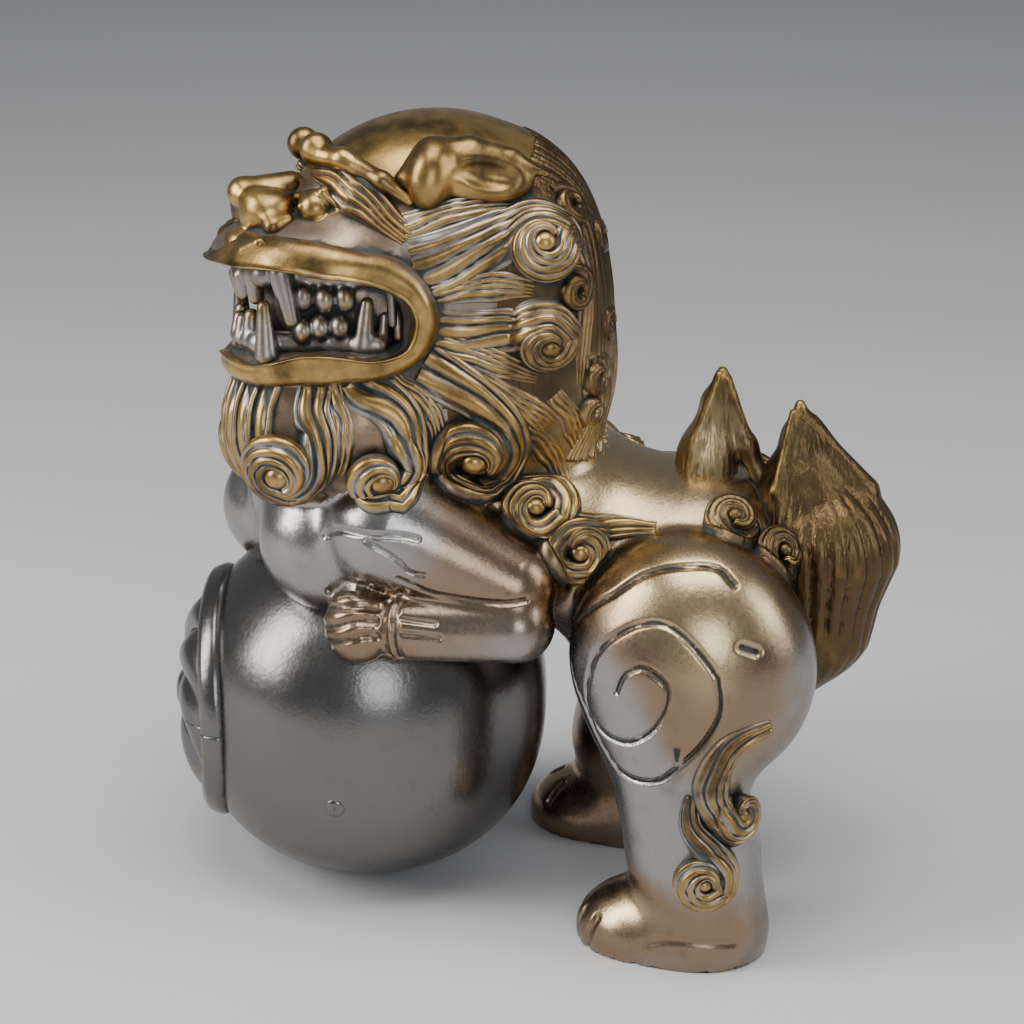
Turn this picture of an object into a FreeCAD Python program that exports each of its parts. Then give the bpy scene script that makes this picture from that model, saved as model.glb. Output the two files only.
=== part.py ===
import FreeCAD, Part
import math
import os
from FreeCAD import Placement, Rotation, Vector

# A guardian lion in cast brass, crouched with its forelegs over a ball.
# Millimetres. +Z is up, the lion's chest faces -X and its own left side faces -Y.
# The castings are drawn round the point where the ball meets the table, and
# origin_x and origin_y carry them to the middle of the whole statue's footprint.

doc = FreeCAD.newDocument("guardian_lion")
sheet = doc.addObject("Spreadsheet::Sheet", "dims")
aliases = []


def cell(alias, value):
    """Puts one named number in the next row of the sheet and gives back its name."""
    aliases.append(alias)
    row = len(aliases)
    sheet.set(f"A{row}", alias)
    sheet.set(f"B{row}", str(value))
    sheet.setAlias(f"B{row}", alias)
    return alias


DRIVING = {
    "origin_x": 64.5,
    "origin_y": -2.0,
    "wall": 3.5,
    "ball_radius": 69.5,
    "ball_top": 137,
    "ball_flat": 17,
    "ball_fullness": 2.3,
    "head_x": 60,
    "head_z": 240,
    "head_yaw": 28,
    "head_roll": 7,
    "chest_yaw": 22,
    "ground_reach": 300,
    "ground_depth": 60,
    "tooth_taper": 0.35,
    "plug_radius": 4.2,
}
for alias, value in DRIVING.items():
    cell(alias, value)
doc.recompute()


def size(alias):
    return float(sheet.get(alias))


SHIFT = Vector(-size("origin_x"), -size("origin_y"), 0)
BODY = Placement(SHIFT, Rotation())
HEAD = Placement(
    SHIFT + Vector(size("head_x"), 0, size("head_z")),
    Rotation(size("head_yaw"), 0, -size("head_roll")),
)
CHEST = size("chest_yaw")


# ---------------------------------------------------------------- building blocks

def mass(name, centre, radii, turn=(0, 0, 0), frame=BODY):
    """A modelled lump: an ellipsoid with its long, wide and high radii in the sheet."""
    lump = doc.addObject("Part::Ellipsoid", name)
    for prop, way, radius in zip(("Radius2", "Radius3", "Radius1"), ("long", "wide", "high"), radii):
        lump.setExpression(prop, "dims." + cell(f"{name}_{way}", radius))
    lump.Angle1, lump.Angle2, lump.Angle3 = -90, 90, 360
    lump.Placement = frame.multiply(Placement(Vector(*centre), Rotation(*turn)))
    return lump


def inside(lump):
    """The hollow under a lump: the same ellipsoid, smaller by the wall."""
    hollow = doc.addObject("Part::Ellipsoid", lump.Name + "_core")
    for prop, way in (("Radius2", "long"), ("Radius3", "wide"), ("Radius1", "high")):
        hollow.setExpression(prop, f"dims.{lump.Name}_{way} - dims.wall")
    hollow.Angle1, hollow.Angle2, hollow.Angle3 = -90, 90, 360
    hollow.Placement = lump.Placement
    return hollow


def limb(name, start, end, start_radius, end_radius, frame=BODY, less=0.0):
    """A round limb: two balls and the cone that is tangent to both, as one revolved solid."""
    if not less:
        cell(f"{name}_start", start_radius)
        cell(f"{name}_end", end_radius)
        doc.recompute([sheet])
        start_radius, end_radius = size(f"{name}_start"), size(f"{name}_end")
    a, b = start_radius - less, end_radius - less
    along = Vector(*end) - Vector(*start)
    length = along.Length
    lean = math.asin((a - b) / length)
    low, high = Vector(0, 0, -a), Vector(0, 0, length + b)
    low_side = Vector(a * math.cos(lean), 0, a * math.sin(lean))
    high_side = Vector(b * math.cos(lean), 0, length + b * math.sin(lean))
    low_mid = Vector(a * math.cos((lean - math.pi / 2) / 2), 0, a * math.sin((lean - math.pi / 2) / 2))
    high_turn = (lean + math.pi / 2) / 2
    high_mid = Vector(b * math.cos(high_turn), 0, length + b * math.sin(high_turn))
    outline = Part.Wire([
        Part.Arc(low, low_mid, low_side).toShape(),
        Part.makeLine(low_side, high_side),
        Part.Arc(high_side, high_mid, high).toShape(),
        Part.makeLine(high, low),
    ])
    solid = Part.Face(outline).revolve(Vector(0, 0, 0), Vector(0, 0, 1), 360)
    feature = doc.addObject("Part::Feature", name)
    feature.Shape = solid
    feature.Placement = frame.multiply(Placement(Vector(*start), Rotation(Vector(0, 0, 1), along)))
    return feature


def strand(name, points, radii, frame=BODY):
    """A tapering lock: a loft through circles set square to the line of the points."""
    rings = []
    for i, (point, radius) in enumerate(zip(points, radii)):
        before, after = points[max(i - 1, 0)], points[min(i + 1, len(points) - 1)]
        ring = doc.addObject("Part::Circle", f"{name}_ring")
        ring.setExpression("Radius", "dims." + cell(f"{name}_ring_{chr(97 + i)}", radius))
        heading = Rotation(Vector(0, 0, 1), Vector(*after) - Vector(*before))
        ring.Placement = frame.multiply(Placement(Vector(*point), heading))
        rings.append(ring)
    lock = doc.addObject("Part::Loft", name)
    lock.Sections, lock.Solid, lock.Ruled = rings, True, False
    return lock


def join(name, pieces):
    if len(pieces) == 1:
        return pieces[0]
    joined = doc.addObject("Part::MultiFuse", name)
    joined.Shapes = pieces
    return joined


def cut(name, base, *tools):
    """The base with each tool taken out of it in turn."""
    trimmed = base
    for i, tool in enumerate(tools):
        step = doc.addObject("Part::Cut", f"{name}_{chr(97 + i)}")
        step.Base, step.Tool = trimmed, tool
        trimmed = step
    return trimmed


def other_side(name, piece):
    """The twin of a piece on the far side of the head, mirrored in the head's middle plane."""
    twin = doc.addObject("Part::Mirroring", name)
    twin.Source = piece
    twin.Base = HEAD.Base
    twin.Normal = HEAD.Rotation.multVec(Vector(0, 1, 0))
    return twin


def together(name, pieces):
    """Several separate solids that share one node."""
    group = doc.addObject("Part::Compound", name)
    group.Links = pieces
    return group


NODES = {}


def keep(label, piece):
    piece.Label = label
    NODES[label] = piece
    return piece


def sides(label):
    """The two sides of the animal: its name, and -1 for the left side or +1 for the right."""
    return (("left_" + label, -1), ("right_" + label, 1))


# ---------------------------------------------------------------- ball

def ball_outline(radius, half, fullness, steps=12):
    """Points of the ball's outline: |r/R|^n + |z/H|^n = 1, a little squarer than a circle."""
    points = []
    for i in range(steps + 1):
        angle = -math.pi / 2 + math.pi * i / steps
        c, s = math.cos(angle), math.sin(angle)
        r = radius * abs(c) ** (2 / fullness)
        z = half * math.copysign(abs(s) ** (2 / fullness), s)
        points.append(Vector(max(r, 0.0), 0, half + z))
    return points


def ball_solid(name, less):
    radius, half = size("ball_radius") - less, size("ball_top") / 2 - less
    points = ball_outline(radius, half, size("ball_fullness"))
    points[0].x = points[-1].x = 0
    side = Part.BSplineCurve()
    side.interpolate(Points=points, InitialTangent=Vector(1, 0, 0), FinalTangent=Vector(-1, 0, 0))
    profile = Part.Wire([side.toShape(), Part.makeLine(points[-1], points[0])])
    solid = Part.Face(profile).revolve(Vector(0, 0, 0), Vector(0, 0, 1), 360)
    feature = doc.addObject("Part::Feature", name)
    feature.Shape = solid
    feature.Placement = BODY.multiply(Placement(Vector(0, 0, less), Rotation()))
    return feature


ball_outer = ball_solid("ball_outer", 0.0)
ball_core = ball_solid("ball_core", size("wall"))

# The ball is ground off where it stands, so that it can't roll.
ground = doc.addObject("Part::Box", "ground")
ground.setExpression("Length", "2 * dims.ground_reach")
ground.setExpression("Width", "2 * dims.ground_reach")
ground.setExpression("Height", "dims.ground_depth")
ground.Placement = Placement(Vector(-size("ground_reach"), -size("ground_reach"), -size("ground_depth")),
                             Rotation())

stand_flat = doc.addObject("Part::Cylinder", "stand_flat")
stand_flat.setExpression("Radius", "dims.ball_flat")
stand_flat.setExpression("Height", "dims." + cell("stand_thickness", 4))
stand_flat.Placement = BODY

# ---------------------------------------------------------------- masses of the body

torso_masses = [
    mass("barrel", (62, 2, 148), (72, 50, 38), (0, 12, 0)),
    mass("rump", (126, 0, 122), (50, 50, 50)),
    mass("ribcage", (4, -6, 158), (46, 48, 40), (CHEST, 0, 0)),
    mass("right_breast", (-30, 14, 140), (30, 30, 27), (CHEST, 0, 0)),
    mass("left_breast", (0, -34, 146), (31, 27, 30), (CHEST, 0, 0)),
    mass("neck", (44, -4, 198), (42, 42, 46), (CHEST, 0, 0)),
]
torso_outer = join("torso_outer", torso_masses)
torso_core = join("torso_inner", [inside(lump) for lump in torso_masses])

head_masses = [
    mass("skull", (-32, 0, 14), (58, 44, 49), (0, 0, 0), HEAD),
    mass("upper_muzzle", (-72, 0, 14), (42, 40, 19), (0, 0, 0), HEAD),
    mass("lower_jaw", (-70, 0, -22), (39, 38, 11), (0, 0, 0), HEAD),
    mass("jowls", (-60, 0, 0), (37, 33, 28), (0, 0, 0), HEAD),
    mass("beard_base", (-60, 0, -46), (43, 37, 34), (0, 0, 0), HEAD),
]
head_outer = join("head_outer", head_masses)
head_core = join("head_inner", [inside(lump) for lump in head_masses])

mane_masses = [
    mass("ruff", (-2, 0, 4), (30, 51, 47), (0, 0, 0), HEAD),
    mass("nape", (7, 0, -24), (24, 38, 54), (0, 0, 0), HEAD),
    mass("throat", (-12, 0, -32), (42, 43, 38), (0, 0, 0), HEAD),
]
mane_outer = join("mane_outer", mane_masses)
mane_core = join("mane_inner", [inside(lump) for lump in mane_masses])

keep("ball", cut("ball_shell", join("ball_whole", [ball_outer, stand_flat]), ball_core, ground))
keep("torso", cut("torso_shell", torso_outer, torso_core, ball_outer))
keep("head", cut("head_shell", head_outer, head_core, torso_outer))
keep("mane_cape", cut("mane_shell", mane_outer, mane_core, head_outer, torso_outer))

# ---------------------------------------------------------------- forelegs

FORELEGS = {
    "left": dict(shoulder=(24, -50, 158), elbow=(68, -50, 138), fore=(71, -57, 125),
                 wrist=(30, -62, 123), paw=(13, -61, 122)),
    "right": dict(shoulder=(-10, 40, 150), elbow=(52, 58, 136), fore=(50, 60, 127),
                  wrist=(6, 66, 118), paw=(-10, 66, 113)),
}
for side, at in FORELEGS.items():
    arm = limb(f"{side}_arm", at["shoulder"], at["elbow"], 25, 17)
    forearm = limb(f"{side}_forearm", at["fore"], at["wrist"], 14, 12.5)
    paw = mass(f"{side}_paw_lump", at["paw"], (15, 13, 14), (0, 90, 0))
    leg = join(f"{side}_foreleg_outer", [arm, forearm])
    keep(f"{side}_foreleg", cut(f"{side}_foreleg_cut", leg, torso_outer, ball_outer))
    keep(f"{side}_forepaw", cut(f"{side}_forepaw_cut", paw, leg, ball_outer))

# ---------------------------------------------------------------- hind legs

HIND = {
    "left": dict(haunch=(134, -46, 112), knee=(128, -52, 88), hock=(137, -52, 40),
                 heel=(141, -51, 8), foot=(125, -51, 5)),
    "right": dict(haunch=(112, 42, 112), knee=(104, 46, 88), hock=(98, 44, 40),
                  heel=(104, 44, 8), foot=(88, 44, 5)),
}
for side, at in HIND.items():
    haunch = mass(f"{side}_haunch", at["haunch"], (45, 34, 48), (0, -14, 0))
    shin = limb(f"{side}_shin", at["knee"], at["hock"], 26, 23.5)
    ankle = limb(f"{side}_ankle", at["hock"], at["heel"], 23.5, 24.5)
    foot = mass(f"{side}_foot", at["foot"], (32, 23, 21))
    leg = join(f"{side}_hind_outer", [haunch, shin, ankle, foot])
    wall = size("wall")
    shin_core = limb(f"{side}_shin_core", at["knee"], at["hock"], 26, 23.5, less=wall)
    ankle_core = limb(f"{side}_ankle_core", at["hock"], at["heel"], 23.5, 24.5, less=wall)
    sole = doc.addObject("Part::Box", f"{side}_sole_plate")
    sole.setExpression("Length", "2 * dims.ground_reach")
    sole.setExpression("Width", "2 * dims.ground_reach")
    sole.setExpression("Height", "dims.wall")
    sole.Placement = Placement(Vector(-size("ground_reach"), -size("ground_reach"), 0), Rotation())
    core = cut(f"{side}_hind_core", join(f"{side}_hind_inner", [inside(haunch), shin_core, ankle_core]),
               sole, ground)
    keep(f"{side}_hind_leg", cut(f"{side}_hind_cut", leg, core, torso_outer, ball_outer, ground))

# ---------------------------------------------------------------- tail

front_flame = strand("front_flame", [(128, 0, 140), (129, 0, 166), (132, 0, 188), (136, 0, 211)],
                     [17, 15, 9, 1.5])
rear_root = limb("rear_root", (176, 0, 142), (172, 0, 112), 28, 21)
rear_low = limb("rear_low", (172, 0, 112), (158, 0, 76), 21, 7)
rear_tip = strand("rear_tip", [(168, 0, 140), (167, 0, 164), (166, 0, 182), (165, 0, 200)],
                  [24, 17, 9, 1.5])
tail_outer = join("tail_outer", [rear_root, rear_low, rear_tip])
hind_outers = [doc.getObject("left_hind_outer"), doc.getObject("right_hind_outer")]
keep("tail_front_flame", cut("front_flame_cut", front_flame, torso_outer, tail_outer, *hind_outers))
keep("tail_rear_flame", cut("rear_flame_cut", tail_outer, torso_outer, *hind_outers))

# ---------------------------------------------------------------- face

lip_line = [(-113, 0, 14), (-99, -24, 21), (-78, -36, 15), (-56, -44, 7), (-43, -45, -6),
            (-52, -43, -20), (-72, -37, -26), (-95, -24, -25), (-109, 0, -21)]
LIP_RADII = [3.5, 5, 5.5, 6, 6.5, 6, 5.5, 5, 3.5]
lip_halves = []
for name, way in sides("lip"):
    points = [(x, -way * y, z) for x, y, z in lip_line]
    lip_halves.append(strand(name, points, LIP_RADII, HEAD))
midplane = doc.addObject("Part::Box", "midplane")
midplane.setExpression("Length", "2 * dims.ground_reach")
midplane.setExpression("Width", "2 * dims.ground_reach")
midplane.setExpression("Height", "2 * dims.ground_reach")
midplane.Placement = HEAD.multiply(
    Placement(Vector(-size("ground_reach"), 0, -size("ground_reach")), Rotation()))
left_lip = cut("left_lip_half", lip_halves[0], midplane)
right_lip = doc.addObject("Part::Common", "right_lip_half")
right_lip.Base, right_lip.Tool = lip_halves[1], midplane
keep("mouth_rim", cut("mouth_rim_cut", together("mouth_rim_pair", [left_lip, right_lip]), head_outer))


def tooth(name, at, radius, height, up):
    """A tooth: a blunt cone that grows up or down out of the gum."""
    cone = doc.addObject("Part::Cone", name)
    for prop, alias in (("Radius1", "root"), ("Radius2", "tip"), ("Height", "length")):
        value = {"root": radius, "tip": radius * size("tooth_taper"), "length": height}[alias]
        cone.setExpression(prop, "dims." + cell(f"{name}_{alias}", round(value, 2)))
    cone.Placement = HEAD.multiply(Placement(Vector(*at), Rotation(0, 0, 0 if up else 180)))
    return cone


# Each row runs back along both cheeks: place, root radius and height of every tooth.
UPPER_ROW = [(-108, 18, 12, 3, 8), (-99, 29, 12, 4, 14), (-88, 35.5, 12, 3, 8), (-80, 37.5, 11, 3, 8),
             (-72, 38, 9, 3, 8)]
LOWER_ROW = [(-104, 17, -20, 3, 8), (-97, 26, -20, 4, 14), (-86, 33.5, -20, 3, 8), (-76, 36.5, -20, 3, 8),
             (-60, 37, -19, 4, 16)]
for node, row, up in (("upper_teeth", UPPER_ROW, False), ("lower_teeth", LOWER_ROW, True)):
    teeth = []
    for side, way in sides(node):
        for i, (x, y, z, radius, height) in enumerate(row):
            teeth.append(tooth(f"{side}_{chr(97 + i)}", (x, way * y, z), radius, height, up))
    keep(node, cut(f"{node}_cut", together(f"{node}_row", teeth), head_outer))

nose = join("nose_outer", [mass("nose_tip", (-95, 0, 33), (12, 12, 9), (0, 0, 0), HEAD)]
            + [mass(f"{side}_wing", (-88, way * 11, 29), (9, 7, 7), (0, 0, 0), HEAD)
               for side, way in sides("nostril")])
keep("nose", cut("nose_cut", nose, head_outer))

eye = mass("eyeball", (-78, -25, 32), (8, 8, 8), (0, 0, 0), HEAD)
brow = mass("brow_ridge", (-63, -28, 43), (20, 12, 11), (28, 0, 0), HEAD)
ear = join("ear_outer", [
    mass("ear_lobe", (-38, -42, 46), (14, 8, 12), (0, 0, 0), HEAD),
    mass("ear_flap", (-20, -42, 41), (16, 7, 8), (0, 0, 0), HEAD)])
near_face = {
    "eye": cut("eye_cut", eye, head_outer),
    "brow": cut("brow_cut", brow, head_outer, eye),
    "ear": cut("ear_cut", ear, head_outer, mane_outer, brow),
}
for label, near in near_face.items():
    keep(f"left_{label}", near)
    keep(f"right_{label}", other_side(f"{label}_twin", near))

# ---------------------------------------------------------------- locks and curls

# A curl is a lock that tapers down into a flattened scroll: the points of the lock, its
# radii at those points, and the scroll's centre and radii.
CURLS = {
    "upper_mane_lock": dict(line=[(-53, 41, 11), (-32, 44, 13), (-13, 48, 20)], radii=[6, 9, 8.5],
                            scroll=(-6, 48.5, 18), round=(13.5, 7.5, 13.5)),
    "lower_mane_lock": dict(line=[(-40, 36, -14), (-26, 39, -14), (-12, 43, -13)], radii=[5, 9, 9],
                            scroll=(-4, 45, -14), round=(13, 7, 13)),
    "front_beard_curl": dict(line=[(-88, 22, -30), (-90, 24, -42), (-92, 23, -52)], radii=[7, 9, 9],
                             scroll=(-93, 21, -58), round=(14, 9, 14)),
    "middle_beard_curl": dict(line=[(-72, 31, -28), (-60, 33, -38), (-54, 34, -52)], radii=[7, 9, 9],
                              scroll=(-63, 34, -60), round=(16, 8, 16)),
    "rear_beard_curl": dict(line=[(-44, 33, -27), (-29, 38, -37), (-18, 38, -47)], radii=[6, 9, 8.5],
                            scroll=(-26, 33, -56), round=(15, 9, 15)),
}
for label, shape in CURLS.items():
    points = [(x, -y, z) for x, y, z in shape["line"]]
    lock = strand(f"{label}_strand", points, shape["radii"], HEAD)
    x, y, z = shape["scroll"]
    scroll = mass(f"{label}_scroll", (x, -y, z), shape["round"], (0, 0, 0), HEAD)
    near = cut(f"{label}_cut", join(f"{label}_outer", [lock, scroll]), head_outer, mane_outer)
    for side, curl in (("left", near), ("right", other_side(f"{label}_twin", near))):
        if "beard" in label:
            curl = cut(f"{side}_{label}_trim", curl, torso_outer)
        keep(f"{side}_{label}", curl)

beard = strand("beard_middle", [(-102, 0, -26), (-104, 0, -42), (-101, 0, -58), (-92, 0, -72)],
               [9, 13, 12, 7], HEAD)
keep("chin_beard", cut("chin_beard_cut", beard, head_outer, torso_outer, mane_outer))

FLANK = [((74, 40, 166), (15, 9, 10), 0), ((98, 41, 153), (19, 8, 9), 8)]
TAIL_CURLS = [((144, 27, 158), (10, 9, 11), 0), ((163, 28, 147), (10, 9, 10), 0)]
for label, lumps in (("flank_curls", FLANK), ("tail_curls", TAIL_CURLS)):
    for name, way in sides(label):
        side = name.split("_")[0]
        curls = [mass(f"{name}_{chr(97 + i)}", (x, way * y, z), radii, (0, pitch, 0))
                 for i, ((x, y, z), radii, pitch) in enumerate(lumps)]
        against = [torso_outer, doc.getObject(f"{side}_hind_outer"), doc.getObject(f"{side}_foreleg_outer")]
        if label == "tail_curls":
            against = [torso_outer, doc.getObject(f"{side}_hind_outer"), tail_outer, front_flame]
        keep(name, cut(f"{name}_cut", together(f"{name}_pair", curls), *against))

LEG_CURLS = {"left": ((166, -60, 66), (160, -74, 34)), "right": ((130, 60, 66), (122, 66, 34))}
for side, places in LEG_CURLS.items():
    lumps = [mass(f"{side}_leg_curl_{chr(97 + i)}", at, (12, 9, 22)) for i, at in enumerate(places)]
    keep(f"{side}_leg_curls",
         cut(f"{side}_leg_curls_cut", together(f"{side}_leg_curls_pair", lumps),
             doc.getObject(f"{side}_hind_outer")))

NAPE = [(27, 22, 8), (31, 8, -14), (33, 20, -30), (30, -6, 16), (33, -14, -18), (34, 2, -42)]
nape_lumps = [mass(f"nape_curl_{chr(97 + i)}", at, (6, 9, 9), (0, 0, 0), HEAD) for i, at in enumerate(NAPE)]
keep("nape_curls", cut("nape_curls_cut", together("nape_curls_all", nape_lumps), mane_outer, torso_outer,
                       head_outer))

# ---------------------------------------------------------------- ball fittings

relief = mass("relief", (-38, -4, 66), (37, 44, 50))
keep("ball_medallion", cut("medallion_cut", relief, ball_outer))
plug = doc.addObject("Part::Cylinder", "core_plug")
plug.setExpression("Radius", "dims.plug_radius")
plug.setExpression("Height", "dims." + cell("plug_length", 8))
plug.Placement = BODY.multiply(Placement(Vector(4, -63, 50), Rotation(Vector(0, 0, 1), Vector(0.05, -1, -0.2))))
keep("ball_plug", plug)
keep("ball", cut("ball_drilled", NODES["ball"], plug))

# ---------------------------------------------------------------- written out

doc.recompute()
for item in doc.Objects:
    if "Invalid" in item.State or "Error" in item.State:
        raise RuntimeError(f"{item.Name} did not recompute: {item.State}")
for label, piece in NODES.items():
    if piece.Shape.isNull() or not piece.Shape.isValid():
        raise RuntimeError(f"{label} has no valid shape")

os.makedirs("parts", exist_ok=True)
whole = FreeCAD.BoundBox()
for label, piece in NODES.items():
    piece.Shape.exportStep(f"parts/{label}.step")
    box = piece.Shape.optimalBoundingBox(False)
    whole.add(box)
    corners = [round(v, 1) for v in (box.XMin, box.XMax, box.YMin, box.YMax, box.ZMin, box.ZMax)]
    print(f"{label:24s} solids {len(piece.Shape.Solids)} {piece.Shape.Volume / 1000:7.2f} cm3 {corners}")
print("box", [round(v, 2) for v in (whole.XMin, whole.XMax, whole.YMin, whole.YMax, whole.ZMin, whole.ZMax)])
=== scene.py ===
import time
import bpy
import numpy as np
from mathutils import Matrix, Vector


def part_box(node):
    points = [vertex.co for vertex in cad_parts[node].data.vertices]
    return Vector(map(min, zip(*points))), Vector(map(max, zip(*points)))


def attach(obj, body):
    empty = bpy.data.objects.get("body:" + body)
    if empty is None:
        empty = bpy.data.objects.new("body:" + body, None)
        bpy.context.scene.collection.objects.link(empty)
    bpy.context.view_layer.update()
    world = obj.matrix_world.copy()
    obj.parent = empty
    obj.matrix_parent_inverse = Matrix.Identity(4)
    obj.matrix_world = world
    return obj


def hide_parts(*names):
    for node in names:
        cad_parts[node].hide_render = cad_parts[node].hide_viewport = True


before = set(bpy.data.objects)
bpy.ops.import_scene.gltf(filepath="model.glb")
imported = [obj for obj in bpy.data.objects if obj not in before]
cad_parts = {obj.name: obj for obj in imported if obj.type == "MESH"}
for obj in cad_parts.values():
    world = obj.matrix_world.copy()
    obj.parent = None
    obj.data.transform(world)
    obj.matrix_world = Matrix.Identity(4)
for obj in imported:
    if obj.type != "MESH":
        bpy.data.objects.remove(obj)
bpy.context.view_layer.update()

import openvdb
from mathutils import Vector

startTime = time.time()

# Shapes are worked out in millimetres round the point where the ball meets the table:
# x towards the tail, y towards the lion's right side, z up.
ballLow, ballHigh = (np.array(corner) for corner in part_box("ball"))
standPoint = np.array([(ballLow[0] + ballHigh[0]) / 2, (ballLow[1] + ballHigh[1]) / 2, ballLow[2]])
millimetre = 0.001


def report(what):
    print(f"{time.time() - startTime:6.1f} s  {what}")


def turnMatrix(yaw=0.0, pitch=0.0, roll=0.0):
    # Rz(yaw) Ry(pitch) Rx(roll), in degrees.
    a, b, c = np.radians([yaw, pitch, roll])
    rz = np.array([[np.cos(a), -np.sin(a), 0], [np.sin(a), np.cos(a), 0], [0, 0, 1]])
    ry = np.array([[np.cos(b), 0, np.sin(b)], [0, 1, 0], [-np.sin(b), 0, np.cos(b)]])
    rx = np.array([[1, 0, 0], [0, np.cos(c), -np.sin(c)], [0, np.sin(c), np.cos(c)]])
    return rz @ ry @ rx


pose = dict(headAt=(60, 0, 240), headYaw=28, headRoll=-7, chestYaw=22)
bodyFrame = (np.zeros(3), np.eye(3))
headFrame = (np.array(pose["headAt"], float), turnMatrix(pose["headYaw"], 0, pose["headRoll"]))
chestYaw = pose["chestYaw"]


def toWorld(points, frameOf):
    # Turned by the frame, then moved to its origin.
    origin, turn = frameOf
    return np.asarray(points, float) @ turn.T + origin


def toLocal(points, frameOf):
    # The other way round.
    origin, turn = frameOf
    return (np.asarray(points, float) - origin) @ turn


lumps = []  # group, kind, its numbers, blend width


def lump(group, centre, radii, turn=(0, 0, 0), frameOf=bodyFrame, blend=8.0):
    centre = toWorld(centre, frameOf)
    matrix = frameOf[1] @ turnMatrix(*turn)
    lumps.append((group, "lump", (centre, np.array(radii, float), matrix), blend))


def limb(group, start, end, startRadius, endRadius, frameOf=bodyFrame, blend=8.0):
    ends = toWorld(start, frameOf), toWorld(end, frameOf)
    lumps.append((group, "limb", (*ends, startRadius, endRadius), blend))


def lumpDistance(kind, numbers, points):
    # Lump: k0 (k0 - 1) / k1 with k0 = |q/r| and k1 = |q/r^2|. Limb: distance to the middle
    # line less a radius that changes evenly along it.
    if kind == "lump":
        centre, radii, matrix = numbers
        q = (points - centre) @ matrix
        k0 = np.sqrt(((q / radii) ** 2).sum(-1))
        k1 = np.sqrt(((q / radii**2) ** 2).sum(-1)) + 1e-9
        return k0 * (k0 - 1) / k1
    start, end, startRadius, endRadius = numbers
    line = end - start
    along = np.clip((points - start) @ line / (line @ line), 0, 1)
    away = points - start - along[..., None] * line
    return np.sqrt((away**2).sum(-1)) - (startRadius + (endRadius - startRadius) * along)


def softMin(a, b, width):
    # Polynomial smooth minimum: the two shapes run into each other over the width.
    mix = np.clip(0.5 + 0.5 * (b - a) / width, 0, 1)
    return b * (1 - mix) + a * mix - width * mix * (1 - mix)


def softMax(a, b, width):
    return -softMin(-a, -b, width)


# the torso
lump("torso", (62, 2, 148), (72, 50, 38), (0, 12, 0), blend=14)
lump("torso", (126, 0, 122), (50, 50, 50), blend=12)
lump("torso", (4, -6, 158), (46, 48, 40), (chestYaw, 0, 0), blend=14)
lump("torso", (-30, 14, 140), (30, 30, 27), (chestYaw, 0, 0), blend=6)
lump("torso", (0, -34, 146), (31, 27, 30), (chestYaw, 0, 0), blend=6)
lump("torso", (44, -4, 198), (42, 42, 46), (chestYaw, 0, 0), blend=14)
# forelegs
limb("left_foreleg", (24, -50, 158), (68, -50, 138), 25, 17, blend=7)
limb("left_foreleg", (71, -57, 125), (30, -62, 123), 14, 12.5, blend=3)
lump("left_forepaw", (13, -61, 122), (13, 13, 15), blend=3)
limb("right_foreleg", (-10, 40, 150), (52, 58, 136), 26, 18, blend=7)
limb("right_foreleg", (50, 60, 127), (6, 66, 118), 14, 12.5, blend=3)
lump("right_forepaw", (-10, 66, 113), (14, 13, 15), blend=3)
# hind legs
lump("left_hind_leg", (134, -46, 112), (45, 34, 48), (0, -14, 0), blend=5)
limb("left_hind_leg", (128, -52, 88), (136, -52, 40), 26, 23.5, blend=10)
limb("left_hind_leg", (137, -52, 40), (141, -51, 8), 23.5, 24.5, blend=6)
lump("left_hind_leg", (125, -51, 5), (32, 23, 21), blend=8)
lump("right_hind_leg", (112, 42, 112), (44, 36, 48), (0, -14, 0), blend=5)
limb("right_hind_leg", (104, 46, 88), (98, 44, 40), 26, 23.5, blend=10)
limb("right_hind_leg", (98, 44, 40), (104, 44, 8), 23.5, 24.5, blend=6)
lump("right_hind_leg", (88, 44, 5), (32, 23, 21), blend=8)
# head and mane
lump("head", (-32, 0, 14), (58, 44, 49), frameOf=headFrame, blend=8)
lump("head", (-72, 0, 14), (42, 40, 19), frameOf=headFrame, blend=7)
lump("head", (-70, 0, -22), (39, 38, 11), frameOf=headFrame, blend=5)
lump("head", (-60, 0, 0), (37, 33, 28), frameOf=headFrame, blend=4)
lump("head", (-60, 0, -46), (43, 37, 34), frameOf=headFrame, blend=5)
lump("head", (-86, 0, -46), (25, 26, 30), frameOf=headFrame, blend=5)
lump("mane_cape", (-2, 0, 4), (30, 51, 47), frameOf=headFrame, blend=8)
lump("mane_cape", (7, 0, -24), (24, 38, 54), frameOf=headFrame, blend=10)
lump("mane_cape", (-12, 0, -32), (42, 43, 38), frameOf=headFrame, blend=10)


def skinDistance(points):
    # The smooth union of every lump, and the number of the group that lies nearest.
    names = list(dict.fromkeys(item[0] for item in lumps))
    total = None
    nearest = np.full(points.shape[:-1], 1e9)
    group = np.zeros(points.shape[:-1], np.int32)
    for name, kind, numbers, blend in lumps:
        d = lumpDistance(kind, numbers, points)
        total = d if total is None else softMin(d, total, blend)
        closer = d < nearest
        nearest = np.where(closer, d, nearest)
        group = np.where(closer, names.index(name), group)
    return total, group


mouth = dict(front=-130, corner=-61, level=-2, half=15.5, wall=(36, 32, 27), wallAt=(-60, 0, 0))


def mouthRecess(points):
    # Inside a slot with a round end seen from the side, and outside the wall of the gums.
    q = toLocal(points, headFrame)
    along = np.clip(q[..., 0], mouth["front"], mouth["corner"])
    slot = np.hypot(q[..., 0] - along, q[..., 2] - mouth["level"]) - mouth["half"]
    gums = (np.array(mouth["wallAt"], float), np.array(mouth["wall"], float), np.eye(3))
    wall = lumpDistance("lump", gums, q)
    return softMax(slot, -wall, 2.0)


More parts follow.
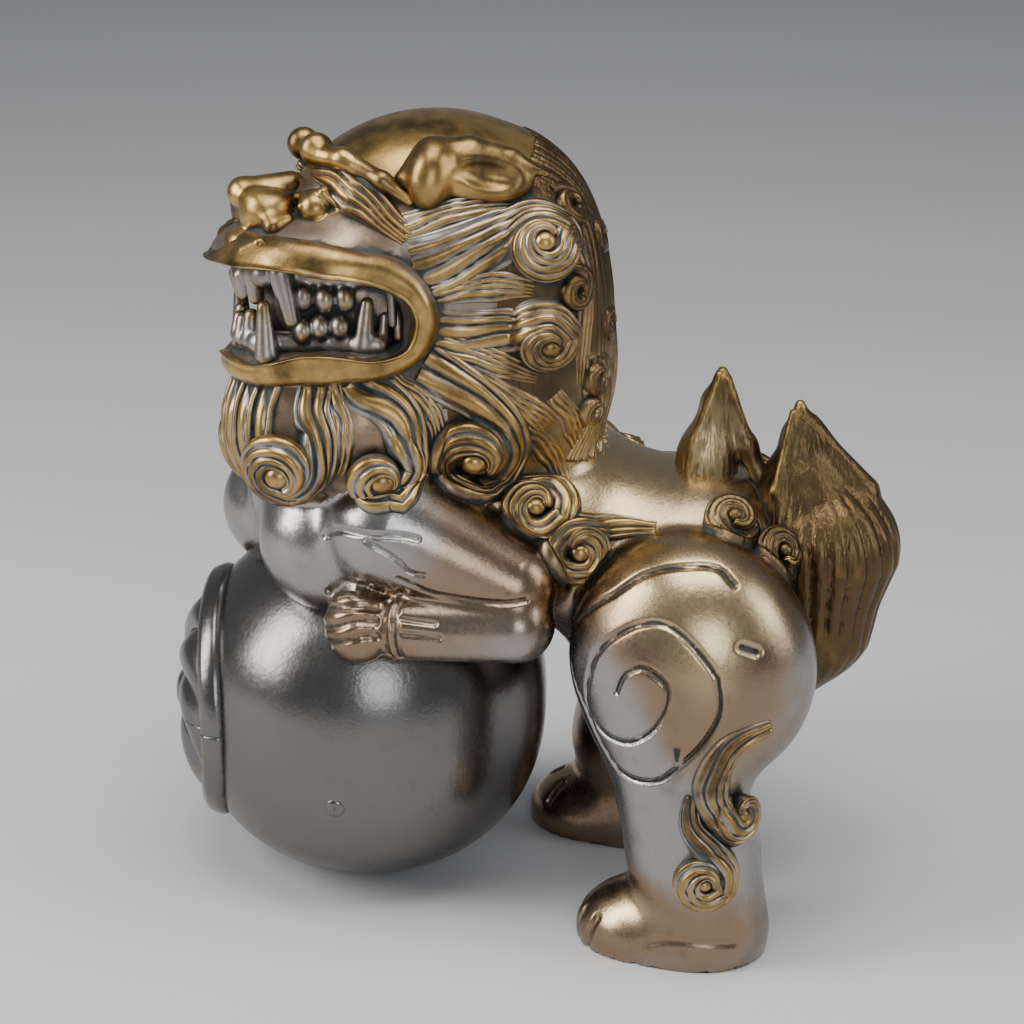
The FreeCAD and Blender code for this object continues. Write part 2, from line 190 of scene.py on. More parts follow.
def bodyDistance(points):
    # The skin with the mouth taken out and the soles ground flat.
    d = skinDistance(points)[0]
    d = softMax(d, -mouthRecess(points), 1.5)
    return np.maximum(d, -points[..., 2])


def gradient(distance, points, step=0.25):
    # Central differences, made a unit vector: the way out of the metal.
    shift = np.eye(3) * step
    g = np.stack([distance(points + shift[i]) - distance(points - shift[i]) for i in range(3)], -1)
    return g / (np.linalg.norm(g, axis=-1, keepdims=True) + 1e-12)


def settle(distance, points, rounds=3):
    # Newton steps along the gradient until the points lie on the surface.
    for _ in range(rounds):
        points = points - distance(points)[..., None] * gradient(distance, points)
    return points


def polygonise(distance, low, high, voxel, block=8):
    # Distances in the blocks that the surface passes through, then its zero level as quads.
    counts = np.ceil((high - low) / (voxel * block)).astype(int)
    far = 3.0 * voxel
    axes = [low[i] + (np.arange(counts[i]) + 0.5) * block * voxel for i in range(3)]
    centres = np.stack(np.meshgrid(*axes, indexing="ij"), -1)
    coarse = distance(centres.reshape(-1, 3)).reshape(counts)
    dense = np.repeat(np.repeat(np.repeat(np.sign(coarse) * far, block, 0), block, 1), block, 2)
    dense = dense.astype(np.float32)
    near = np.argwhere(np.abs(coarse) < block * voxel * 1.3)
    inner = np.stack(np.meshgrid(*[np.arange(block)] * 3, indexing="ij"), -1).reshape(-1, 3)
    for part in np.array_split(near, max(1, len(near) // 400)):
        cells = (part[:, None] * block + inner[None]).reshape(-1, 3)
        values = np.clip(distance(low + cells * voxel), -far, far)
        dense[cells[:, 0], cells[:, 1], cells[:, 2]] = values
    grid = openvdb.FloatGrid(far)
    grid.copyFromArray(dense)
    points, triangles, quads = grid.convertToPolygons(isovalue=0.0, adaptivity=0.0)
    return points.astype(float) * voxel + low, quads[:, ::-1]


# Meshes and lines.

def toRow(points):
    # Millimetres round the ball's foot, as metres in the frame.
    return points * millimetre + standPoint


def outwards(points, faces):
    # Turns the faces over if the volume they enclose comes out negative.
    a, b, c = (points[faces[:, i]] for i in range(3))
    volume = (np.cross(a, b) * c).sum()
    if faces.shape[1] == 4:
        volume += (np.cross(a, c) * points[faces[:, 3]]).sum()
    return faces[:, ::-1] if volume < 0 else faces


def join(parts):
    # Several (points, faces, worn) sets as one, triangles and quads both made triangles.
    points, faces, worn, start = [], [], [], 0
    for p, f, w in parts:
        f = outwards(p, np.asarray(f))
        if f.shape[1] == 4:
            f = np.concatenate([f[:, [0, 1, 2]], f[:, [0, 2, 3]]])
        keep = (f[:, 0] != f[:, 1]) & (f[:, 1] != f[:, 2]) & (f[:, 2] != f[:, 0])
        points.append(p)
        faces.append(f[keep] + start)
        worn.append(np.broadcast_to(w, len(p)))
        start += len(p)
    return np.concatenate(points), np.concatenate(faces), np.concatenate(worn)


pieces = {}


def addPiece(name, nodes, slot, parts, normals=None):
    # One mesh object for one or more CAD nodes.
    points, faces, worn = join(parts)
    mesh = bpy.data.meshes.new(name)
    mesh.vertices.add(len(points))
    mesh.vertices.foreach_set("co", toRow(points).astype(np.float32).ravel())
    mesh.loops.add(faces.size)
    mesh.loops.foreach_set("vertex_index", faces.astype(np.int32).ravel())
    mesh.polygons.add(len(faces))
    mesh.polygons.foreach_set("loop_start", np.arange(len(faces), dtype=np.int32) * 3)
    mesh.update(calc_edges=True)
    mesh.shade_smooth()
    if normals is not None:
        mesh.normals_split_custom_set_from_vertices(normals.tolist())
    mesh.attributes.new("worn", "FLOAT", "POINT").data.foreach_set("value", worn.astype(np.float32))
    piece = bpy.data.objects.new(name, mesh)
    bpy.context.scene.collection.objects.link(piece)
    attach(piece, "root")
    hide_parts(*nodes)
    pieces[name] = dict(object=piece, points=points, faces=faces, slot=slot)
    return piece


def smoothLine(points, spacing=1.0):
    # Catmull-Rom curve through the points, with evenly spaced samples.
    p = np.asarray(points, float)
    p = np.concatenate([[2 * p[0] - p[1]], p, [2 * p[-1] - p[-2]]])
    t = np.linspace(0, 1, 24, endpoint=False)[:, None]
    runs = []
    for a, b, c, d in zip(p[:-3], p[1:-2], p[2:-1], p[3:]):
        runs.append(0.5 * (2 * b + (c - a) * t + (2 * a - 5 * b + 4 * c - d) * t**2
                           + (3 * b - a - 3 * c + d) * t**3))
    line = np.concatenate(runs + [p[-2:-1]])
    return evenly(line, spacing)


def evenly(line, spacing):
    # The line's points again, the same distance apart along it.
    steps = np.concatenate([[0], np.cumsum(np.linalg.norm(np.diff(line, axis=0), axis=1))])
    count = max(4, int(steps[-1] / spacing) + 1)
    at = np.linspace(0, steps[-1], count)
    return np.stack([np.interp(at, steps, line[:, i]) for i in range(line.shape[1])], 1)


def mirrored(points):
    # Left for right: y changes sign.
    return np.asarray(points, float) * [1, -1, 1]


# Grooves cut in the skin.

def lineDistance(points, line):
    # Distance to the nearest of the straight bits between the line's points.
    best = np.full(len(points), 1e9)
    for a, b in zip(line[:-1], line[1:]):
        ab = b - a
        t = np.clip((points - a) @ ab / (ab @ ab + 1e-9), 0, 1)
        away = points - a - t[:, None] * ab
        best = np.minimum(best, (away**2).sum(1))
    return np.sqrt(best)


grooves = []


def groove(points, depth, width, both=None):
    # A chased line: its middle line on the skin, depth and half width. "both" maps it to the far side.
    for spots in [points] + ([both(points)] if both else []):
        line = settle(bodyDistance, smoothLine(spots, 3.0), 3)
        low, high = line.min(0) - 3 * width, line.max(0) + 3 * width
        grooves.append((line, depth, width, low, high))


def grooveDepth(points):
    # The largest depth * exp(-(distance / width)^2) of the lines.
    total = np.zeros(len(points))
    for line, depth, width, low, high in grooves:
        near = np.nonzero(((points > low) & (points < high)).all(1))[0]
        if len(near):
            away = lineDistance(points[near], line)
            total[near] = np.maximum(total[near], depth * np.exp(-(away / width) ** 2))
    return total


def carved(points):
    # The skin with its grooves: distance + groove depth.
    shape = points.shape[:-1]
    flat = points.reshape(-1, 3)
    return (bodyDistance(flat) + grooveDepth(flat)).reshape(shape)


def farHind(points):
    # The far hind leg stands 23 mm further forward than the near one.
    return mirrored(points) + [-23, -6, 0]


def farArm(points):
    # The far foreleg lies 23 mm further forward and 6 mm lower.
    return mirrored(points) + [-23, 1, -6]


haunch = dict(
    plate=[(149, -60, 146), (144, -60, 154), (131, -62, 154), (119, -63, 151), (108, -64, 143), (99, -60, 135),
           (90, -51, 122), (91, -55, 112), (96, -62, 100), (103, -68, 86), (112, -72, 77), (126, -78, 77),
           (135, -79, 84), (143, -78, 93), (148, -77, 103), (149, -78, 111), (148, -78, 119)],
    spiral=[(111, -75, 110), (114, -76, 117), (120, -78, 121), (126, -79, 119), (130, -80, 115), (130, -80, 108),
            (127, -80, 101), (122, -79, 95), (115, -77, 91), (107, -71, 91), (100, -66, 95), (99, -66, 104),
            (100, -68, 112), (103, -70, 122), (110, -72, 130), (119, -74, 136), (128, -75, 137), (136, -77, 133),
            (143, -78, 126), (148, -78, 119)],
)
groove(haunch["plate"], 2.2, 1.15, farHind)
groove(haunch["spiral"], 2.0, 1.05, farHind)
armLines = [
    [(3, -61, 156), (9, -69, 161), (19, -74, 162), (32, -73, 162), (38, -72, 161)],
    [(20, -75, 160), (27, -74, 156), (32, -73, 152), (35, -72, 148), (40, -72, 147)],
    [(31, -71, 145), (42, -68, 140), (53, -68, 138), (67, -67, 137), (76, -65, 138)],
    [(31, -72, 130), (37, -73, 130), (44, -72, 129)],
    [(31, -74, 125), (38, -74, 125), (46, -73, 124)],
]
for line in armLines:
    groove(line, 1.5, 1.0, farArm)
toeLines = [
    [(2, -58, 133), (10, -64, 136), (16, -66, 138), (22, -68, 139)],
    [(1, -62, 127), (8, -69, 131), (15, -71, 133), (22, -70, 134)],
    [(1, -64, 121), (8, -72, 125), (15, -73, 128), (22, -72, 128)],
    [(2, -64, 115), (9, -71, 119), (16, -73, 122), (23, -72, 122)],
    [(25, -66, 141), (24, -71, 135), (25, -73, 128), (26, -73, 121), (26, -71, 114)],
    [(31, -66, 139), (29, -71, 134), (30, -74, 127), (30, -74, 121), (31, -72, 113)],
]
for line in toeLines:
    groove(line, 2.0, 1.4, lambda spots: mirrored(spots) + [-23, 5, -9])
for x, y, z in ((94, -42, 13), (93, -50, 12), (95, -59, 11), (101, -66, 11)):
    topEnd = np.array([x, y, z]) + np.array([1.8, 0.7 if y < -50 else 0.0, 2.8])
    groove([(x - 5, y - 1, 0.5), (x - 1, y, z * 0.55), topEnd], 1.8, 1.3, farHind)
heelLine = [(119, -73, 1), (120, -74, 6), (124, -74, 10), (133, -75, 13), (144, -76, 13), (156, -72, 12)]
groove(heelLine, 0.7, 1.6, farHind)
for line in ([(55, -40, 88), (70, -30, 100), (84, -20, 112)],
             [(48, -46, 118), (62, -47, 116), (80, -46, 122)]):
    groove(line, 0.8, 1.4, mirrored)
# Two slots in the haunch where pins held the core.
groove([(155, -72, 129.5), (161, -72, 128)], 2.6, 1.6)
groove([(134, -79, 90), (134, -79, 86)], 2.4, 1.4)
report("grooves placed")

# The skins of torso, limbs, head and mane.

skin = dict(voxel=1.7, low=(-75.0, -95.0, -6.0), high=(195.0, 95.0, 315.0), wall=3.0, finer=(3.0, 2.0),
            flatBelow=0.12, crownFrom=32, crownOver=14)
skinPoints, skinQuads = polygonise(carved, np.array(skin["low"]), np.array(skin["high"]), skin["voxel"])
report(f"body skin: {len(skinPoints)} points, {len(skinQuads)} quads")


def divided(points, triangles, chosen):
    # Quarters the chosen triangles; a neighbour of one is halved or cut in three to match.
    pairs = np.sort(triangles[:, [[0, 1], [1, 2], [2, 0]]], axis=2)
    keys, inverse = np.unique(pairs.reshape(-1, 2) @ [len(points), 1], return_inverse=True)
    inverse = inverse.reshape(-1, 3)
    split = np.zeros(len(keys), bool)
    split[inverse[chosen(points[triangles].mean(1))].ravel()] = True
    middle = np.full(len(keys), -1)
    middle[split] = len(points) + np.arange(split.sum())
    ends = keys[split]
    finer = np.concatenate([points, (points[ends // len(points)] + points[ends % len(points)]) / 2])
    m = middle[inverse]
    count = (m >= 0).sum(1)
    result = [triangles[count == 0]]
    a, b, c = triangles[count == 3].T
    x, y, z = m[count == 3].T
    result += [np.stack(three, 1) for three in ((a, x, z), (x, b, y), (z, y, c), (x, y, z))]
    for k in range(3):
        l, n = (k + 1) % 3, (k + 2) % 3
        chosenOne = (count == 1) & (m[:, k] >= 0)
        t, x = triangles[chosenOne], m[chosenOne, k]
        result += [np.stack([t[:, k], x, t[:, n]], 1), np.stack([x, t[:, l], t[:, n]], 1)]
        chosenTwo = (count == 2) & (m[:, k] < 0)
        t, y, z = triangles[chosenTwo], m[chosenTwo, l], m[chosenTwo, n]
        result += [np.stack(three, 1) for three in
                   ((t[:, k], t[:, l], y), (t[:, k], y, z), (z, y, t[:, n]))]
    return finer, np.concatenate(result)


def nearGroove(middles, reach):
    # True where a groove's line is nearer than 1.4 widths and the reach.
    mask = np.zeros(len(middles), bool)
    for line, depth, width, low, high in grooves:
        near = np.nonzero(((middles > low - 2) & (middles < high + 2)).all(1))[0]
        if len(near):
            mask[near] |= lineDistance(middles[near], line) < width * 1.4 + reach
    return mask


skinTriangles = np.concatenate([skinQuads[:, [0, 1, 2]], skinQuads[:, [0, 2, 3]]])
for reach in skin["finer"]:
    skinPoints, skinTriangles = divided(skinPoints, skinTriangles,
                                        lambda middles: nearGroove(middles, reach))
skinPoints = settle(carved, skinPoints, 2)
skinNormals = gradient(carved, skinPoints)
report(f"skin: {len(skinPoints)} points, {len(skinTriangles)} triangles")
skinPoints[:, 2] = np.where(skinPoints[:, 2] < skin["flatBelow"], 0.0, skinPoints[:, 2])

groupNames = list(dict.fromkeys(item[0] for item in lumps))
groupOf = skinDistance(skinPoints[skinTriangles].mean(1))[1]
slots = dict(torso="body_bronze", head="gilt_bronze", mane_cape="dark_bronze")
for number, name in enumerate(groupNames):
    faces = skinTriangles[groupOf == number]
    used, faces = np.unique(faces, return_inverse=True)
    faces = faces.reshape(-1, 3)
    outer, normals = skinPoints[used], skinNormals[used]
    inner = outer - normals * skin["wall"]
    inner[:, 2] = np.maximum(inner[:, 2], 0.05)
    edges = np.concatenate([faces[:, [0, 1]], faces[:, [1, 2]], faces[:, [2, 0]]])
    key = edges[:, 0].astype(np.int64) * len(used) + edges[:, 1]
    back = edges[:, 1].astype(np.int64) * len(used) + edges[:, 0]
    rim = edges[~np.isin(key, back)]
    wall = np.concatenate([np.stack([rim[:, 1], rim[:, 0], rim[:, 0] + len(used)], 1),
                           np.stack([rim[:, 1], rim[:, 0] + len(used), rim[:, 1] + len(used)], 1)])
    shell = np.concatenate([faces, faces[:, ::-1] + len(used), wall])
    worn = 1.0 - np.clip(grooveDepth(outer) / 0.9, 0, 1)
    if name in ("head", "mane_cape"):
        crown = np.clip((toLocal(outer, headFrame)[:, 2] - skin["crownFrom"]) / skin["crownOver"], 0, 1)
        worn *= 0.15 + 0.8 * crown
    addPiece(name, [name], slots.get(name, "body_bronze"),
             [(np.concatenate([outer, inner]), shell, np.concatenate([worn, worn * 0]))],
             np.concatenate([normals, -normals]))
report("skins split")

# Locks and curls laid on the skin.


band = dict(thick=2.2, sink=1.0)  # how far a lock's band goes into the skin, below it and at its edges


def drape(line, half, rise, ribs=6, ribHeight=0.9, across=29, base=bodyDistance):
    # A ribbed band along a line on the base: top = base + rise * crown(v) + ribs, with
    # crown(v) = (1 - |v|^2.2)^0.6 and each rib 1 - |q|^2.2, q running from -1 to 1 over the rib.
    line = settle(base, line, 3)
    heading = np.gradient(line, axis=0)
    heading /= np.linalg.norm(heading, axis=1, keepdims=True) + 1e-9
    out = gradient(base, line)
    side = np.cross(out, heading)
    side /= np.linalg.norm(side, axis=1, keepdims=True) + 1e-9
    v = np.linspace(-1, 1, across)
    rows = line[:, None] + side[:, None] * (half[:, None] * v)[..., None]
    rows = settle(base, rows, 2)
    out = gradient(base, rows)
    crown = (1 - np.abs(v) ** 2.2).clip(0) ** 0.6
    t = np.linspace(0, 1, len(line))[:, None]
    q = ((v + 1) / 2 * ribs + 0.28 * np.sin(3.1 * (v + 1) + 5 * t) + 0.12 * np.sin(17 * t)) % 1.0 * 2 - 1
    rib = 1 - np.abs(q) ** 2.2
    edge = (1 - np.abs(v) ** 8)
    size = np.minimum(1.0, half / (half.max() * 0.6 + 1e-9))
    ribbed = ribHeight * size[:, None] * (rib - 0.5) * edge
    height = rise[:, None] * crown + ribbed - band["sink"] * np.abs(v) ** 6
    top = rows + out * height[..., None]
    bottom = rows - out * band["thick"]
    worn = rib * edge * (0.45 + 0.55 * crown)
    return closedSheet(top, bottom, worn)


def closedSheet(top, bottom, worn):
    # A sheet and the one under it, joined along all four edges.
    n, m = top.shape[:2]
    index = np.arange(n * m).reshape(n, m)
    a, b, c, d = index[:-1, :-1], index[1:, :-1], index[1:, 1:], index[:-1, 1:]
    quads = np.stack([a, b, c, d], -1).reshape(-1, 4)
    loop = np.concatenate([index[:, 0], index[-1, 1:], index[-2::-1, -1], index[0, -2:0:-1]])
    after = np.roll(loop, -1)
    wall = np.stack([after, loop, loop + n * m, after + n * m], 1)
    faces = np.concatenate([quads, quads[:, ::-1] + n * m, wall])
    points = np.concatenate([top.reshape(-1, 3), bottom.reshape(-1, 3)])
    return points, faces, np.concatenate([worn.ravel(), worn.ravel() * 0])


def scroll(line, centre, turns, last=0.36, base=bodyDistance):
    # Carries the line on round the centre: its distance from it shrinks evenly with the angle.
    out = gradient(base, centre[None])[0]
    arm = line[-1] - centre
    arm -= out * (arm @ out)
    reach = np.linalg.norm(arm)
    arm /= reach
    across = np.cross(out, arm)
    if (line[-1] - line[-3]) @ across < 0:
        across = -across
    t = np.linspace(0, 1, int(26 * turns))[1:, None]
    angle = 2 * np.pi * turns * t
    radius = reach * (1 - (1 - last) * t)
    return np.concatenate([line, centre + radius * (np.cos(angle) * arm + np.sin(angle) * across)])


def bulged(spots):
    # The skin with a dome under each curl.
    def distance(points):
        d = bodyDistance(points)
        for centre, radii, matrix in spots:
            d = softMin(lumpDistance("lump", (centre, radii, matrix), points), d, 4.0)
        return d
    return distance


def curl(points, centre, frameOf=headFrame, far=None, half=(8, 9, 2.2), rise=(0.4, 2.2, 4.0), ribs=6,
         turns=1.15, dome=None, ribHeight=0.9, spacing=0.9, across=29):
    # A lock that runs down its points and rolls up round the centre.
    spots = np.asarray(points + [centre], float)
    if far:
        spots = far(spots)
    spots = toWorld(spots, frameOf)
    line = smoothLine(spots[:-1], 2.0)
    centreSpot = settle(bodyDistance, spots[-1:], 4)[0]
    base = bodyDistance
    if dome:
        out = gradient(bodyDistance, centreSpot[None])[0]
        along = np.cross(out, [0, 0, 1.0])
        along /= np.linalg.norm(along)
        matrix = np.stack([along, out, np.cross(along, out)], 1)
        base = bulged([(centreSpot + out * dome[3], np.array(dome[:3], float), matrix)])
        centreSpot = settle(base, centreSpot[None] + out * (dome[1] + dome[3]), 3)[0]
    lead = len(line)
    line = scroll(settle(base, line, 3), centreSpot, turns, base=base)
    lead = np.linalg.norm(np.diff(line[:lead], axis=0), axis=1).sum()
    line = evenly(line, spacing)
    run = np.concatenate([[0], np.cumsum(np.linalg.norm(np.diff(line, axis=0), axis=1))])
    end = run[-1]
    halfWidth = np.interp(run, [0, lead * 0.7, lead, end], [half[0], half[1], half[1] * 0.9, half[1] * 0.8])
    reach = np.linalg.norm(line - centreSpot, axis=1) * 1.02
    rolling = np.clip((run - lead * 0.85) / (lead * 0.15 + 1e-6), 0, 1)
    halfWidth = halfWidth * (1 - rolling) + np.minimum(halfWidth, reach) * rolling
    halfWidth *= np.interp(run, [0, end * 0.86, end], [1, 1, half[2] / half[1] * 1.6])
    lift = np.interp(run, [0, lead * 0.6, run[-1]], rise)
    return drape(line, halfWidth, lift, ribs, ribHeight, across, base=base)


def bead(centre, dome, far=None, radii=(4.6, 3.4, 4.2), frameOf=headFrame):
    # The rubbed end of a curl, a small round boss at its centre: an ellipsoid in rings.
    spot = toWorld([far([centre])[0] if far else centre], frameOf)
    spot = settle(bodyDistance, spot, 4)[0]
    out = gradient(bodyDistance, spot[None])[0]
    along = np.cross(out, [0, 0, 1.0])
    along /= np.linalg.norm(along)
    around, up = np.meshgrid(np.linspace(0, 2 * np.pi, 28, endpoint=False),
                             np.linspace(0.02, np.pi - 0.02, 18), indexing="ij")
    unit = np.stack([np.cos(around) * np.sin(up), np.cos(up), np.sin(around) * np.sin(up)], -1)
    shape = np.array(radii) * min(dome[0] / 12, 1.0)
    matrix = np.stack([along, out, np.cross(along, out)], 1)
    top = spot + out * (dome[1] + dome[3] + 2.2)
    grid = top + (unit * shape) @ matrix.T
    n, m = grid.shape[:2]
    index = np.arange(n * m).reshape(n, m)
    a, b = index[:, :-1], np.roll(index, -1, 0)[:, :-1]
    quads = np.stack([a, a + 1, b + 1, b], -1).reshape(-1, 4)
    poles = np.stack([top + matrix[:, 1] * shape[1], top - matrix[:, 1] * shape[1]])
    first, last = index[:, 0], index[:, -1]
    caps = [np.stack([np.roll(first, -1), np.full(n, n * m), np.full(n, n * m), first], 1),
            np.stack([last, np.full(n, n * m + 1), np.full(n, n * m + 1), np.roll(last, -1)], 1)]
    return np.concatenate([grid.reshape(-1, 3), poles]), np.concatenate([quads] + caps), 0.95


def straightLock(points, frameOf=headFrame, far=None, half=(5, 6, 3), rise=(0.4, 1.2, 0.4), ribs=4,
                 ribHeight=0.7, spacing=1.2, across=21):
    # A lock that lies along its points; half width and rise go evenly from start to middle to end.
    spots = far(points) if far else points
    line = smoothLine(toWorld(spots, frameOf), spacing)
    t = np.linspace(0, 1, len(line))
    ends = [0, 0.5, 1]
    return drape(line, np.interp(t, ends, half), np.interp(t, ends, rise), ribs, ribHeight, across)


# Hair that fills the skin between the big locks: points, half widths, number of ribs.
fillers = dict(
    upper_mane_lock=[
        ([(-54, -38, 25), (-40, -41, 29), (-24, -42, 32), (-9, -44, 33), (4, -46, 30)], (6, 6), 5),
        ([(-45, -42, 2), (-30, -45, 3), (-14, -49, 3), (0, -50, 1)], (5, 7), 5),
    ],
    lower_mane_lock=[
        ([(-40, -36, -17), (-26, -40, -22), (-12, -43, -28), (2, -44, -33)], (5, 6), 5),
        ([(-30, -37, -28), (-16, -40, -38), (-2, -41, -48), (8, -36, -58)], (5, 7), 5),
        ([(8, -46, 26), (12, -46, 8), (13, -45, -12), (12, -42, -32), (10, -38, -50)], (5, 6), 4),
        ([(0, -45, -38), (9, -42, -50), (15, -36, -62), (19, -30, -72)], (4, 6), 5),
        ([(-12, -42, -50), (-2, -40, -60), (6, -34, -70), (10, -28, -78)], (4, 6), 4),
    ],
    rear_beard_curl=[([(-26, -38, -32), (-14, -41, -42), (-5, -39, -54), (-8, -32, -66)], (4, 6), 5)],
    front_beard_curl=[([(-80, -35, -30), (-76, -34, -44), (-77, -32, -58), (-80, -27, -70)], (3, 5), 3)],
    middle_beard_curl=[([(-58, -34, -28), (-48, -35, -36), (-42, -35, -48), (-44, -31, -62)], (4, 5), 4)],
)

beardCurls = dict(
    front_beard_curl=dict(
        points=[(-86, -33, -28), (-87, -31, -38), (-84, -31, -49), (-85, -27, -62), (-94, -20, -69)],
        centre=(-95, -22, -57), half=(7, 8.5, 2.6), rise=(0.5, 2.0, 6.0),
        ribs=4, ribHeight=1.5, turns=0.95, dome=(13, 9, 14, -1)),
    middle_beard_curl=dict(
        points=[(-72, -34, -28), (-62.4, -34.3, -34), (-56, -36, -41), (-53.4, -36, -50), (-53, -33, -62),
                (-58, -36, -71)],
        centre=(-63.5, -34, -61), half=(11, 8.4, 2.2), rise=(0.5, 2.8, 5.0),
        ribs=4, ribHeight=1.5, turns=0.95, dome=(12, 6, 12, -1)),
    rear_beard_curl=dict(
        points=[(-46, -32, -24.6), (-37, -35.4, -30), (-27.3, -39.7, -37.3), (-18.3, -39.3, -47.2),
                (-14, -34, -58), (-17, -28, -68)],
        centre=(-27.7, -31.6, -57), half=(11, 8.4, 2.2), rise=(0.5, 2.8, 5.0),
        ribs=4, ribHeight=1.5, turns=0.95, dome=(12, 6, 12, -1)),
)
maneLocks = dict(
    upper_mane_lock=dict(
        points=[(-52, -41, 9), (-40, -43, 13), (-26, -42.5, 18), (-13, -43, 23), (-3, -46, 25.5),
                (3.5, -48, 19)],
        centre=(-4.7, -48.4, 17.5), half=(15, 10, 2.2), rise=(0.3, 1.8, 5.0), ribs=6, turns=0.95,
        dome=(10, 6, 10, -1), ribHeight=1.2),
    lower_mane_lock=dict(
        points=[(-42, -37.5, -12), (-28, -39.6, -13), (-14, -46, -12), (-4, -49.7, -9), (1.7, -47, -15)],
        centre=(-4, -47, -16), half=(10, 9, 2.2), rise=(0.3, 1.8, 5.0), ribs=5, turns=0.95,
        dome=(10, 6, 10, -1), ribHeight=1.2),
)
for group in (beardCurls, maneLocks):
    for name, shape in group.items():
        for side, far in (("left", None), ("right", mirrored)):
            parts = [curl(far=far, **shape)]
            for points, half, ribs in fillers.get(name, []):
                parts.append(straightLock(points, far=far, half=(*half, 1.4), rise=(0.2, 1.0, -1.3),
                                          ribs=ribs, ribHeight=1.0))
            parts.append(bead(shape["centre"], shape["dome"], far))
            addPiece(f"{side}_{name}", [f"{side}_{name}"], "gilt_bronze", parts)
report("mane and beard curls")

flankCurls = [
    dict(points=[(56, -47, 170), (61, -44, 172), (70, -39, 173), (79, -35, 172), (85, -37, 167), (84, -41, 161)],
         centre=(75, -43, 165), half=(4, 7.5, 2.4), rise=(1, 4.0, 5.5),
         ribs=4, ribHeight=1.3, turns=0.95, dome=(10, 4, 8, -1)),
    dict(points=[(118, -35, 158), (108, -36, 158.5), (98, -38, 158), (88, -42, 157), (82, -46, 151)],
         centre=(91, -43, 150), half=(3.5, 7, 2.4), rise=(1, 4.0, 5.5),
         ribs=4, ribHeight=1.3, turns=0.95, dome=(10, 4, 8, -1)),
]
tailCurls = [
    dict(points=[(150, -20, 168), (147, -23, 164), (149, -26, 156), (144, -27, 150)],
         centre=(143, -26, 157), half=(4, 6.5, 2.4), rise=(1, 2.5, 5),
         ribs=4, turns=1.1, dome=(8, 5, 8, -1)),
    dict(points=[(172, -20, 152), (169, -23, 152), (165, -26, 145), (160, -27, 141)],
         centre=(161, -26, 148), half=(4, 6, 2.4), rise=(1, 2.5, 5),
         ribs=4, turns=1.1, dome=(8, 5, 8, -1)),
]
legCurls = [
    dict(points=[(164, -66, 99), (157, -72, 95), (151, -74, 90), (147, -74, 81), (146, -73, 72), (149, -72, 63)],
         centre=(155, -66, 62), half=(4, 8, 2.2), rise=(0.8, 3.6, 4.6),
         ribs=4, ribHeight=1.4, turns=0.95, dome=(7, 3, 7, -1)),
    dict(points=[(139, -76, 72), (138.5, -76, 65), (140, -76, 58), (146, -75, 50), (151, -73, 42), (150, -73, 34)],
         centre=(144, -76, 39), half=(3, 7.5, 2.2), rise=(0.8, 3.6, 4.6),
         ribs=4, ribHeight=1.4, turns=0.95, dome=(7, 3, 7, -1)),
]
for name, shapes, far in (("flank_curls", flankCurls, mirrored), ("tail_curls", tailCurls, mirrored),
                          ("leg_curls", legCurls, farHind)):
    slot = "dark_bronze" if name == "tail_curls" else "gilt_bronze"
    for side, across in (("left", None), ("right", far)):
        parts = [curl(frameOf=bodyFrame, far=across, **shape) for shape in shapes]
        parts += [bead(shape["centre"], shape["dome"], across, (4.4, 3.2, 4.0), bodyFrame)
                  for shape in shapes]
        addPiece(f"{side}_{name}", [f"{side}_{name}"], slot, parts)
report("flank, tail and leg curls")

# chin beard: upright strands under the lower lip, from cheek to cheek
chin = dict(across=(-21, -14, -7, 0, 7, 14, 21), front=-110, bend=0.020)
chinParts = []
for y in chin["across"]:
    x = chin["front"] + chin["bend"] * y * y
    chinParts.append(straightLock([(x + 3, y, -28), (x - 1, y, -40), (x, y * 0.97, -54), (x + 6, y * 0.93, -66),
                                   (x + 18, y * 0.9, -75)],
                                  half=(3.7, 4.3, 2.6), rise=(1.2, 2.2, 1.0), ribs=2, ribHeight=1.2,
                                  across=13))
addPiece("chin_beard", ["chin_beard"], "gilt_bronze", chinParts)

# nape: long flutes from the crown down the back of the mane, with small knobs between them
nape = dict(flutes=11, spread=76, knobs=((7, -39, 30), (5, -49, 1), (16, -37, -33), (14, -35, -45),
                                        (20, -30, 18), (22, -31, -14)))
napeParts = []
for angle in np.linspace(-nape["spread"], nape["spread"], nape["flutes"]):
    turn = np.radians(angle)
    spread = np.sin(turn)
    points = [(-8 + 18 * np.cos(turn) * 0.5, 30 * spread, 48 - 6 * abs(spread)),
              (14 + 12 * np.cos(turn), 40 * spread, 30), (20 + 12 * np.cos(turn), 44 * spread, 4),
              (20 + 12 * np.cos(turn), 42 * spread, -22), (16 + 13 * np.cos(turn), 36 * spread, -48),
              (8 + 12 * np.cos(turn), 30 * spread, -66)]
    napeParts.append(straightLock(points, half=(4.5, 6.6, 4.2), rise=(0.2, 1.6, 0.6), ribs=4, ribHeight=0.8,
                                  spacing=1.5, across=21))
for x, y, z in nape["knobs"]:
    for way in (1, -1):
        centre = (x + 2, way * y, z)
        line = [(x - 4, way * y, z + 7), (x + 1, way * (y + 2), z + 8), (x + 7, way * (y + 3), z + 3),
                (x + 6, way * (y + 1), z - 4)]
        napeParts.append(curl(line, centre, half=(2, 4, 1.6), rise=(0.6, 2.4, 3.6), ribs=3, turns=0.9,
                              ribHeight=0.6, spacing=0.7, across=15))
addPiece("nape_curls", ["nape_curls"], "dark_bronze", napeParts)
report("chin beard and nape")

# Mouth rim: a closed band round the mouth whose inner edge stands up as a sharp crest.

